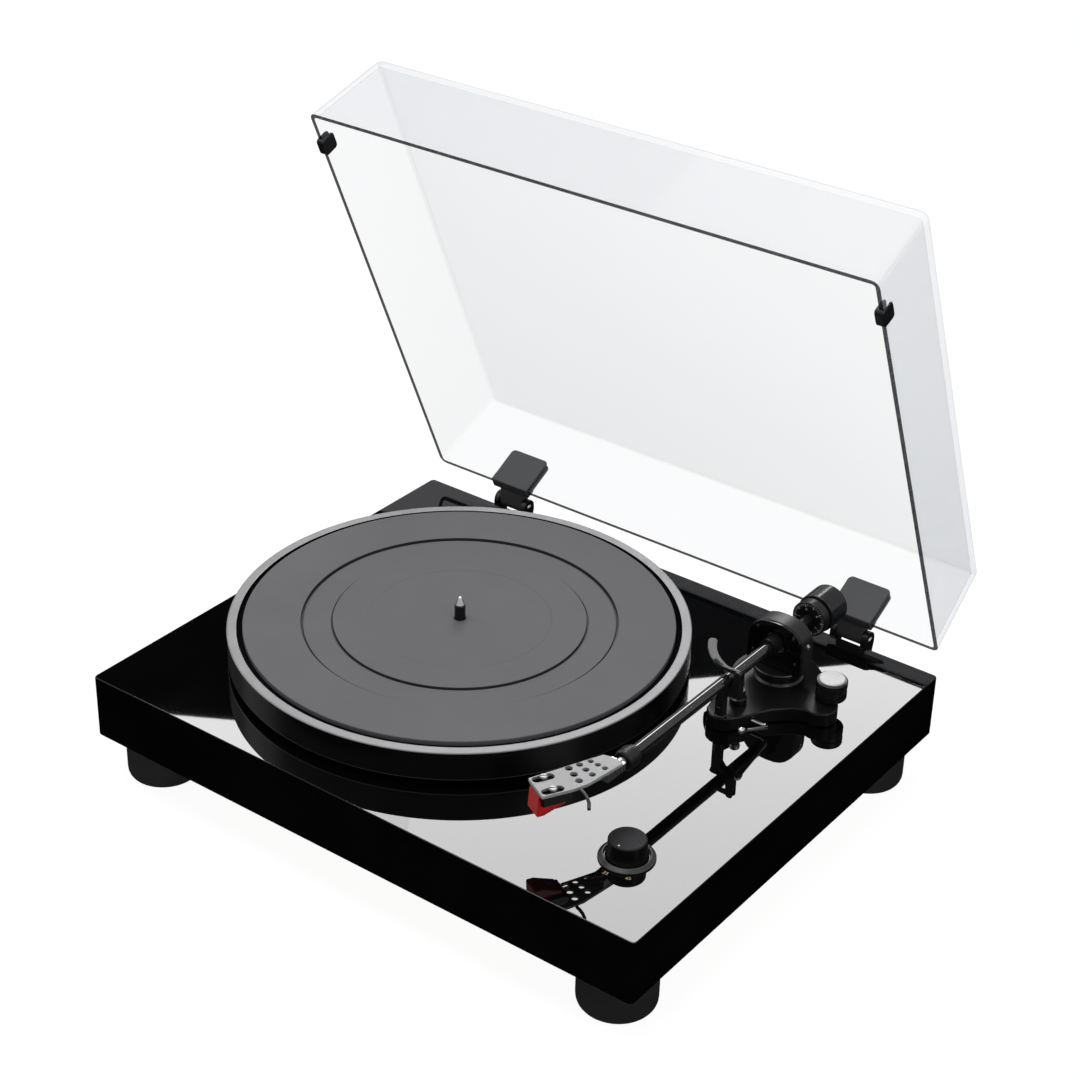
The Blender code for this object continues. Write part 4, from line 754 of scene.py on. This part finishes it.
face_y = low("gimbal_cover").y - 0.45 * MM
heads = bmesh.new()
for dx, dz in ((-13.0, 7.4), (13.0, 7.4), (-15.4, -10.5), (15.4, -10.5)):
    spot = lying(Vector((pivot_at.x + dx * MM, face_y, middle("gimbal_barrel").z + dz * MM)))
    cup = [(0, 0.3, 0), (0.45, 0.3, 0.05), (0.5, 0, 0.1), (0.95, 0, 0.25), (1.05, 0.8, 0.1), (0, 0.8, 0)]
    spun(heads, eased(cup, 3), spot, 20)
piece("gimbal_face_screws", heads, [finger_dark], "arm_pivot")

skate_place = upright(Vector((skate_at.x, skate_at.y, TOP)))
wheel_r = radius_of("anti_skate_knob")
wheel_top = top_of("anti_skate_knob")
wheel = bmesh.new()
shape = [
    (0, wheel_top, 0), (wheel_r, wheel_top, 0.9), (wheel_r, wheel_top - 4.6, 0.2),
    (wheel_r - 0.35, wheel_top - 5, 0.2), (wheel_r - 0.35, 11, 0.2), (wheel_r - 0.8, 10.4, 0.3),
    (3, 10.4, 0.2), (3, 5, 0.2), (0, 5, 0),
]
spun(wheel, eased(shape, 4), skate_place, 96)
piece("anti_skate_wheel", wheel, [arm_satin], "anti_skate", ("anti_skate_knob",))
cap_r = radius_of("anti_skate_cap")
cap_low, cap_high = bottom_of("anti_skate_cap"), top_of("anti_skate_cap")
cap = bmesh.new()
shape = [
    (0, cap_high, 0), (cap_r - 0.7, cap_high, 0.3), (cap_r, cap_high - 0.5, 0.2), (cap_r, cap_low, 0.1),
    (0, cap_low, 0),
]
spun(cap, eased(shape, 4), skate_place, 96)
piece("anti_skate_disc", cap, [cap_metal], "anti_skate", ("anti_skate_cap",))
ring_of(
    "anti_skate_knurl", 60, wheel_r - 0.32, (0.5, 0.42, 4.6),
    upright(Vector((skate_at.x, skate_at.y, TOP + 13.6 * MM))), arm_satin, "anti_skate", 0.1,
)

# ---------------------------------------------------------------- tonearm tube, weight and dial



def nose_of(node):
    """Turning place at the middle of the node's front end."""
    return lying(Vector((middle(node).x, low(node).y, middle(node).z)))


tube_r, tube_length = radius_of("arm_tube"), length_of("arm_tube")
rod = bmesh.new()
shape = [(0, 0, 0), (tube_r, 0, 0.3), (tube_r, tube_length, 0.3), (0, tube_length, 0)]
spun(rod, eased(shape, 3), nose_of("arm_tube"), 72)
piece("arm_tube_lacquered", rod, [tube_gloss], "tonearm", ("arm_tube",))

dressed("counterweight_shaft", arm_satin)
weight_r, weight_length = radius_of("counterweight"), length_of("counterweight")
weight = bmesh.new()
shape = [
    (4, 0, 0), (weight_r, 0, 0.9), (weight_r, weight_length, 1.1), (weight_r - 2.2, weight_length, 0.3),
    (weight_r - 3, weight_length - 0.8, 0.2), (6.2, weight_length - 0.8, 0.2), (5.6, weight_length, 0.2),
    (4, weight_length, 0),
]
spun(weight, eased(shape, 4), nose_of("counterweight"), 96, closed=True)
piece("counterweight_turned", weight, [weight_black], "tail_weight", ("counterweight",))

dial_at = middle("balance_dial")
dial_front = low("balance_dial").y
dial_r, dial_length = radius_of("balance_dial"), length_of("balance_dial")
dial = bmesh.new()
shape = [
    (4, 0, 0), (dial_r - 0.4, 0, 0.2), (dial_r, 0.5, 0.2), (dial_r, dial_length - 1.7, 0.3),
    (dial_r - 1.1, dial_length - 1.5, 0.2), (dial_r - 1.1, dial_length, 0.2), (4, dial_length, 0),
]
spun(dial, eased(shape, 3), nose_of("balance_dial"), 96, closed=True)
piece("balance_dial_turned", dial, [arm_satin], "force_dial", ("balance_dial",))
print_at = Vector((dial_at.x, dial_front - 0.03 * MM, dial_at.z))
dial_face = lying(print_at)
ring_of("dial_fine_ticks", 40, dial_r - 1.7, (1.3, 0.2, 0.08), dial_face, mark_white, "force_dial")
ring_of("dial_long_ticks", 10, dial_r - 2.2, (2.3, 0.32, 0.09), dial_face, mark_white, "force_dial")
ring_of(
    "dial_knurl", 72, dial_r, (0.3, 0.5, dial_length - 3.2),
    lying(Vector((dial_at.x, dial_front + (dial_length - 2.2) / 2 * MM, dial_at.z))),
    arm_satin, "force_dial",
)
figures = []
for k in range(5):
    turn = 2 * pi * k / 5 + pi / 10
    spot = Matrix.Rotation(-turn, 4, "Y") @ Matrix.Translation((0, 0, (dial_r - 5) * MM))
    figures.append((str(k), spot @ Matrix.Rotation(pi / 2, 4, "X")))
letters("dial_figures", figures, 2.3, Matrix.Translation(print_at), mark_white, "force_dial")

# ---------------------------------------------------------------- locking collar and headshell

collar_at = middle("locking_collar")
collar_front = low("locking_collar").y
collar_r, collar_length = radius_of("locking_collar"), length_of("locking_collar")
collar = bmesh.new()
shape = [
    (4.4, 0, 0), (collar_r - 0.8, 0, 0.4), (collar_r, 1, 0.3), (collar_r, collar_length - 3.6, 0.3),
    (collar_r - 1.1, collar_length - 3, 0.2),
    (collar_r - 1.4, collar_length, 0.4), (4.4, collar_length, 0),
]
spun(collar, eased(shape, 4), nose_of("locking_collar"), 72, closed=True)
piece("head_lock_ring", collar, [plain_black], "head_lock", ("locking_collar",))
ring_of(
    "head_lock_knurl", 36, collar_r, (0.36, 0.5, collar_length - 6),
    lying(Vector((collar_at.x, collar_front + (collar_length - 2.2) / 2 * MM, collar_at.z))),
    plain_black, "head_lock",
)

dressed("headshell_neck", silver, "headshell_neck_block", edge=0.0004)
plate_low, plate_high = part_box("headshell_plate")
left_screw, right_screw = middle("cartridge_screw_left"), middle("cartridge_screw_right")
across = (right_screw - left_screw).normalized()
back_way = Vector((-across.y, across.x, 0))
nose = (left_screw + right_screw) / 2 - back_way * 8.2 * MM


def on_head(side, back):
    """Point on the headshell, in millimetres across and back from the middle of its front edge."""
    return nose + across * side * MM + back_way * back * MM


def ring_loop(point, radius, stretch=0.0, count=28):
    """Round hole, or with stretch a slot that is longer from front to back."""
    loop = []
    for k in range(count):
        a = 2 * pi * k / count
        push = stretch / 2 * (1 if sin(a) >= 0 else -1)
        loop.append(point + across * radius * cos(a) * MM + back_way * (radius * sin(a) + push) * MM)
    return loop


outline = [
    on_head(-9.6, 0.5), on_head(-9.1, 0), on_head(9.4, 0), on_head(9.9, 0.5), on_head(10.2, 19),
    deck(347.2, 55.2), deck(351, 83.6), deck(350.2, 84.8), deck(342, 84.8), deck(337, 83.6),
]
holes = [ring_loop(on_head(side * 6.35, 8.0), 2.75, 8.4, 40) for side in (-1, 1)]
# rows of holes: place along the plate, how far the row follows its slant, hole radius, spacing
for back, follow, radius, reach in ((26, 0.98, 2.25, 6.6), (34.5, 0.55, 2.0, 5.9), (43, 0.08, 1.75, 5.2)):
    row = deck(327.6 + back * 0.30, 32.4 + back * 0.955)
    for step in (-1, 0, 1):
        lean = radians(28) * follow
        holes.append(ring_loop(row + Vector((cos(lean), -sin(lean), 0)) * step * reach * MM, radius))
flat = bpy.data.curves.new("headshell_outline", "CURVE")
flat.dimensions = "2D"
flat.fill_mode = "BOTH"
flat.extrude = (plate_high.z - plate_low.z) / 2 - 0.2 * MM
flat.bevel_depth = 0.2 * MM
flat.bevel_resolution = 2
flat.offset = -0.2 * MM
for loop in [outline, *holes]:
    spline = flat.splines.new("POLY")
    spline.points.add(len(loop) - 1)
    for point, spot in zip(spline.points, loop):
        point.co = (spot.x, spot.y, 0, 1)
    spline.use_cyclic_u = True
holder = bpy.data.objects.new("headshell_outline", flat)
bpy.context.scene.collection.objects.link(holder)
view = bpy.context.evaluated_depsgraph_get()
shell = bmesh.new()
shell.from_mesh(bpy.data.meshes.new_from_object(holder.evaluated_get(view)))
bpy.data.objects.remove(holder)
bmesh.ops.remove_doubles(shell, verts=shell.verts, dist=1e-7)
bmesh.ops.translate(shell, vec=(0, 0, (plate_low.z + plate_high.z) / 2), verts=shell.verts)
piece(
    "headshell_plate_pierced", shell, [shell_metal], "tonearm", ("headshell_plate",),
    crease=40,
)
dressed("finger_lift", finger_dark, "finger_lift_wire", crease=60)
dressed("cartridge_body", arm_gloss, "cartridge_case", edge=0.0001)
guard_low = bottom_of("stylus_guard")
case_low, case_high = bottom_of("cartridge_body"), top_of("cartridge_body")
side_line = [
    (-0.7, case_high - 0.6), (0.1, case_high - 0.4), (0.1, case_high - 2.4), (0.75, case_high - 3),
    (0.75, case_low - 0.2), (17, case_low - 0.2), (16.4, case_low - 2.2), (3, guard_low - 0.8),
    (-1.0, guard_low - 0.8), (-1.6, guard_low - 0.4),
]
half_guard = 6.4
guard = bmesh.new()
slab(
    guard,
    [on_head(-half_guard, back) + Vector((0, 0, TOP + z * MM - nose.z)) for back, z in side_line],
    across * 2 * half_guard * MM,
)
soften(guard, 0.35, 2, angle=0.7, clamp=True)
piece("stylus_guard_red", guard, [guard_red], "tonearm", ("stylus_guard",))
dressed("stylus", tip_grey, "stylus_cantilever", crease=60)
dressed("cartridge_screw_left", screw_nickel, crease=30)
dressed("cartridge_screw_right", screw_nickel, crease=30)

neck_low = low("headshell_neck")
case_mid = middle("cartridge_body")
turn = Matrix.Rotation(radians(-28), 4, "Z")
rear = Vector((case_mid.x, case_mid.y, 0)) + turn @ Vector((0, 10.6 * MM, 0))
colours = {
    "white": (0.75, 0.75, 0.72), "red": (0.6, 0.02, 0.02),
    "blue": (0.03, 0.08, 0.5), "green": (0.02, 0.3, 0.06),
}
lead_z = high("cartridge_body").z - 4.2 * MM
out = turn @ Vector((0, 1, 0))
for k, (colour, value) in enumerate(colours.items()):
    side = (k - 2.4) * 1.7 * MM
    start = neck_low + Vector((1.0 + k * 1.5, -0.2, 2.2 + 0.9 * (k % 2))) * MM
    pin_at = rear + turn @ Vector((side, 0, 0)) + Vector((0, 0, lead_z - (k % 2) * 2.4 * MM))
    insulation = grainy("lead_" + colour, [c * 0.25 for c in value], [c * 0.35 for c in value], 0.5)
    line = [
        pin_at + out * 1.2 * MM, pin_at + out * 3.6 * MM,
        (pin_at * 0.55 + start * 0.45) + Vector((-1.6 * MM, 0, -1.6 * MM)),
        start + Vector((0, -3 * MM, -0.4 * MM)), start + Vector((0, 0.6 * MM, 0)),
    ]
    tube("head_lead_" + colour, line, 0.34, insulation, "tonearm")
    tube("head_pin_" + colour, [pin_at - out * 0.4 * MM, pin_at + out * 2.4 * MM], 0.55, gold, "tonearm", 3)

# ---------------------------------------------------------------- speed control

grip_r = 11.5
grip_top = top_of("speed_knob")
skirt_r = radius_of("speed_knob")


def knob_slot(a, b):
    return 1 if min(a.z, b.z) / MM > grip_top - 0.5 else 0


knob = bmesh.new()
shape = [
    (0, grip_top, 0), (grip_r - 0.7, grip_top, 0.2), (grip_r, grip_top - 0.7, 0.3),
    (grip_r + 0.35, 4.5, 1.5), (skirt_r, 1.9, 0.5), (skirt_r, 1.4, 0.2), (2.8, 1.4, 0.2),
    (2.8, -17.5, 0.3), (0, -17.5, 0),
]
knob_place = upright(Vector((knob_at.x, knob_at.y, TOP)))
spun(knob, eased(shape, 4), knob_place, 128, knob_slot)
piece("speed_knob_turned", knob, [knob_side, knob_top], "speed_control", ("speed_knob",))
dot = bmesh.new()
shape = [(0, 0.08, 0), (0.55, 0.06, 0), (0.75, -0.1, 0), (0, -0.1, 0)]
spun(dot, eased(shape), upright(Vector((knob_at.x, knob_at.y - 8.8 * MM, TOP + grip_top * MM))), 24)
piece("speed_knob_dot", dot, [mark_white], "speed_control")
bezel_r = radius_of("speed_bezel")
bezel_top = top_of("speed_bezel")
bezel = bmesh.new()
shape = [
    (4.4, 0.35, 0), (bezel_r, 0.35, 0.1), (bezel_r, 1.0, 0.35), (14.4, bezel_top, 0.4),
    (13.7, bezel_top - 0.2, 0.2), (13.6, 0.95, 0.2), (4.4, 0.95, 0),
]
spun(bezel, eased(shape, 4), knob_place, 128, closed=True)
piece("speed_bezel_turned", bezel, [bezel_grey], "chassis", ("speed_bezel",))
dressed("speed_switch", drive_grey)

# ---------------------------------------------------------------- lid and hinges

hinge_at = next(j for j in frame["joints"] if j["name"] == "lid_hinge")["pos_m"]
lean_open = radians(66.4)
rim_way = Vector((0, -sin(lean_open), -cos(lean_open)))
lid_reach = [v.co.dot(rim_way) for v in nodes["lid"].data.vertices]
rim_reach, lid_depth = max(lid_reach), max(lid_reach) - min(lid_reach)


def lid_face(face):
    """The sawn rim is 1 and the narrow bend round the far panel 2, both painted dark as painted reflection,
    the walls 3 and the panel 0.
    """
    depths = [rim_reach - v.co.dot(rim_way) for v in face.verts]
    fall = max(depths) - min(depths)
    if max(depths) < 0.2 * MM:
        return 1
    if min(depths) > lid_depth - 2.2 * MM and fall > 0.3 * MM:
        return 2
    return 3 if fall > 5 * MM else 0


def clamp_plate(half, high_z, near, thick, slope, corner_r=3.4 * MM):
    """Mesh of a plate with rounded upper corners, leaning by slope, in the clamp's own frame."""
    line = [(-half, 2.4 * MM), (half, 2.4 * MM)]
    for turn_at, start in ((half - corner_r, 0), (-half + corner_r, pi / 2)):
        for k in range(7):
            a = start + pi / 2 * k / 6
            line.append((turn_at + corner_r * cos(a), high_z - corner_r + corner_r * sin(a)))
    plate = bmesh.new()
    slab(plate, [(x, near, z) for x, z in line], (0, thick, 0))
    soften(plate, 0.5, 3)
    for vert in plate.verts:
        vert.co.y -= slope * vert.co.z
    settle(plate)
    mesh = bpy.data.meshes.new("plate")
    plate.to_mesh(mesh)
    plate.free()
    return mesh


def hinge_clamp(side):
    """The CAD clamp's lower part with two rounded plates that hold the lid's wall between them."""
    base = middle("hinge_base_" + side)
    hinge_end = Matrix.Translation(Vector((base.x, hinge_at[1], hinge_at[2])))
    clamp_frame = hinge_end @ Matrix.Rotation(-lean_open, 4, "X")
    clamp = bmesh.new()
    clamp.from_mesh(nodes["hinge_pocket_" + side].data)
    bmesh.ops.remove_doubles(clamp, verts=clamp.verts, dist=2e-6)
    bmesh.ops.transform(clamp, matrix=clamp_frame.inverted(), verts=clamp.verts)
    reach = [v.co.copy() for v in clamp.verts]
    back_y, front_y = max(v.y for v in reach if v.z > 12 * MM), min(v.y for v in reach)
    high_z, half = max(v.z for v in reach), max(v.x for v in reach)
    everything = clamp.verts[:] + clamp.edges[:] + clamp.faces[:]
    bmesh.ops.bisect_plane(
        clamp, geom=everything, plane_co=(0, 0, 7 * MM), plane_no=(0, 0, 1), clear_outer=True
    )
    bmesh.ops.holes_fill(clamp, edges=[e for e in clamp.edges if e.is_boundary])
    slope = 5 / 64
    front_plate = front_y + slope * high_z + 0.2 * MM
    clamp.from_mesh(clamp_plate(half, high_z, front_plate, 1.9 * MM, slope))
    clamp.from_mesh(clamp_plate(half, high_z, back_y - 1.9 * MM, 2.1 * MM, slope))
    bmesh.ops.transform(clamp, matrix=clamp_frame, verts=clamp.verts)
    replaced = ("hinge_pocket_" + side,)
    piece("hinge_clamp_" + side, clamp, [hinge_skin], "dust_lid", replaced, crease=40)


def hinge_rods_and_pins(side):
    base = middle("hinge_base_" + side)
    rods = bmesh.new()
    for dx in (-11.6, -9.4, 9.4, 11.6):
        pole = [(0, 0, 0), (0.7, 0, 0.2), (0.7, 8.4, 0.2), (0, 8.4, 0)]
        foot = Vector((base.x + dx * MM, hinge_at[1] - 7.2 * MM, hinge_at[2] - 13 * MM))
        spun(rods, eased(pole, 2), upright(foot), 16)
    piece("hinge_spring_rods_" + side, rods, [chrome], "chassis")
    for end, letter in ((-1, "a"), (1, "b")):
        head = bmesh.new()
        dome = [(0, 1.0, 0), (1.6, 0.9, 0.4), (2.6, 0.1, 0.3), (2.6, -0.6, 0), (0, -0.6, 0)]
        spot = Vector((base.x + end * 13.7 * MM, hinge_at[1], hinge_at[2]))
        spun(head, eased(dome, 4), Matrix.Translation(spot) @ Matrix.Rotation(end * pi / 2, 4, "Y"), 28)
        piece(f"hinge_pin_head_{side}_{letter}", head, [silver], "chassis")


dressed(
    "lid", acrylic, "lid_moulded", crease=50, extra=(rim_painted_dark, bend_painted_dark, acrylic_wall),
    choose=lid_face,
)
for side in ("left", "right"):
    dressed("lid_bumper_" + side, plain_black, edge=0.0002)
    dressed("hinge_base_" + side, arm_satin, "hinge_frame_" + side, edge=0.0003)
    hinge_clamp(side)
    hinge_rods_and_pins(side)

# ---------------------------------------------------------------- studio


def stage(name, corners, finish, hidden=()):
    mesh = bpy.data.meshes.new(name)
    mesh.from_pydata([tuple(c) for c in corners], [], [list(range(len(corners)))])
    mesh.materials.append(finish)
    obj = bpy.data.objects.new(name, mesh)
    bpy.context.scene.collection.objects.link(obj)
    for kind in hidden:
        setattr(obj, "visible_" + kind, False)
    return obj


def glow(name, colour, strength):
    mat = bpy.data.materials.new(name)
    mat.use_nodes = True
    shader = mat.node_tree.nodes["Principled BSDF"]
    shader.inputs["Base Color"].default_value = (0, 0, 0, 1)
    shader.inputs["Roughness"].default_value = 1
    shader.inputs["Specular IOR Level"].default_value = 0
    shader.inputs["Emission Color"].default_value = (*colour, 1)
    shader.inputs["Emission Strength"].default_value = strength
    return mat


paper = Finish("studio_floor_paper", (0.12, 0.12, 0.12), 0.9)
paper.put("Specular IOR Level", 0.0).put("Emission Color", (1, 1, 1, 1)).put("Emission Strength", 0.94)
paper.bump(paper.noise(paper.place(), 120), 0.05, 0.0002)
half_floor = 60.0
stage(
    "studio_floor",
    [(x * half_floor, y * half_floor, 0) for x, y in ((-1, -1), (1, -1), (1, 1), (-1, 1))],
    paper.mat,
    ("glossy",),
)

# cards and a flag behind the lid that only glossy surfaces see
eye = deck(964.394, -835.315, 826.484)
under = Vector((eye.x, eye.y, 2 * TOP - eye.z))


def mirrored(x, y, distance):
    """Where the ray mirrored at that deck point meets an upright plane behind the lid."""
    point = deck(x, y)
    plane = FRONT + distance * MM
    return under + (point - under) * ((plane - under.y) / (point.y - under.y))


def card(name, outline, distance, finish):
    """Sheet given by the patch of deck that it is mirrored in and its distance behind the front face."""
    hidden = ("camera", "diffuse", "transmission", "volume_scatter", "shadow")
    stage(name, [mirrored(x, y, distance) for x, y in outline], finish, hidden)


white_shape = [(58, -60), (58, -6), (106, 22), (375, 323.5), (440, 323.5), (480, -60)]
card("white_card", white_shape, 1500, glow("card_white", (1, 1, 1), 10.6))
dark_shape = [(-120, -120), (-60, 240), (22, 318), (40, 327), (500, 327), (520, -120)]
card("dark_flag", dark_shape, 1600, glow("flag_black", (1, 1, 1), 0.012))
grey_shape = [(-60, 262), (62, 296), (70, 326), (70, 420), (-80, 420)]
card("grey_card", grey_shape, 1450, glow("card_grey", (1, 1, 1.05), 0.62))

# the air: bright where the camera sees it, softer in diffuse light and dimmer in reflections
world = bpy.data.worlds.new("studio_air")
bpy.context.scene.world = world
world.use_nodes = True
air = world.node_tree
air.nodes.clear()
paths = air.nodes.new("ShaderNodeLightPath")
coords = air.nodes.new("ShaderNodeTexCoord")
split = air.nodes.new("ShaderNodeSeparateXYZ")
air.links.new(coords.outputs["Generated"], split.inputs[0])
horizon = air.nodes.new("ShaderNodeMapRange")
for key, number in (("From Min", 0.0), ("From Max", 0.06), ("To Min", 0.0), ("To Max", 1.0)):
    horizon.inputs[key].default_value = number
air.links.new(split.outputs["Z"], horizon.inputs["Value"])
shades = {"seen": ((1, 1, 1), 1.06), "soft": ((1, 1, 1), 0.46), "gloss": ((1, 1, 1.02), 0.5)}
shade_nodes = {}
for key, (colour, strength) in shades.items():
    made = air.nodes.new("ShaderNodeBackground")
    made.inputs["Color"].default_value = (*colour, 1)
    made.inputs["Strength"].default_value = strength
    shade_nodes[key] = made
level = air.nodes.new("ShaderNodeMath")
level.operation = "MULTIPLY"
level.inputs[1].default_value = 0.5
air.links.new(horizon.outputs["Result"], level.inputs[0])
air.links.new(level.outputs["Value"], shade_nodes["gloss"].inputs["Strength"])
first = air.nodes.new("ShaderNodeMixShader")
air.links.new(paths.outputs["Is Diffuse Ray"], first.inputs[0])
air.links.new(shade_nodes["gloss"].outputs[0], first.inputs[1])
air.links.new(shade_nodes["soft"].outputs[0], first.inputs[2])
second = air.nodes.new("ShaderNodeMixShader")
air.links.new(paths.outputs["Is Camera Ray"], second.inputs[0])
air.links.new(first.outputs[0], second.inputs[1])
air.links.new(shade_nodes["seen"].outputs[0], second.inputs[2])
result = air.nodes.new("ShaderNodeOutputWorld")
air.links.new(second.outputs[0], result.inputs["Surface"])


def lamp(name, place, aim, width, height, power, gloss=True):
    data = bpy.data.lights.new(name, "AREA")
    data.shape = "RECTANGLE"
    data.size, data.size_y, data.energy = width, height, power
    obj = bpy.data.objects.new(name, data)
    bpy.context.scene.collection.objects.link(obj)
    obj.location = place
    obj.rotation_euler = (Vector(aim) - Vector(place)).to_track_quat("-Z", "Y").to_euler()
    obj.visible_camera = False
    obj.visible_glossy = gloss
    return obj


lamp("overhead_softbox", (-0.25, 0.05, 1.75), (0, 0, 0), 1.5, 1.3, 15)
lamp("left_softbox", (-1.7, -0.5, 1.2), (0, 0, 0.1), 0.9, 1.2, 6)
lamp("right_softbox", (1.6, -0.2, 1.3), (0.1, 0, 0.1), 0.7, 1.0, 5)

camera = bpy.data.cameras.new("studio_camera")
camera.sensor_width = 36
camera.lens = 78.334
camera.clip_start, camera.clip_end = 0.05, 30
viewer = bpy.data.objects.new("studio_camera", camera)
bpy.context.scene.collection.objects.link(viewer)
viewer.location = eye
viewer.rotation_euler = [radians(angle) for angle in (59.998, -1.231, 37.071)]
bpy.context.scene.camera = viewer
bpy.context.scene.view_settings.view_transform = "Standard"

bpy.context.view_layer.update()
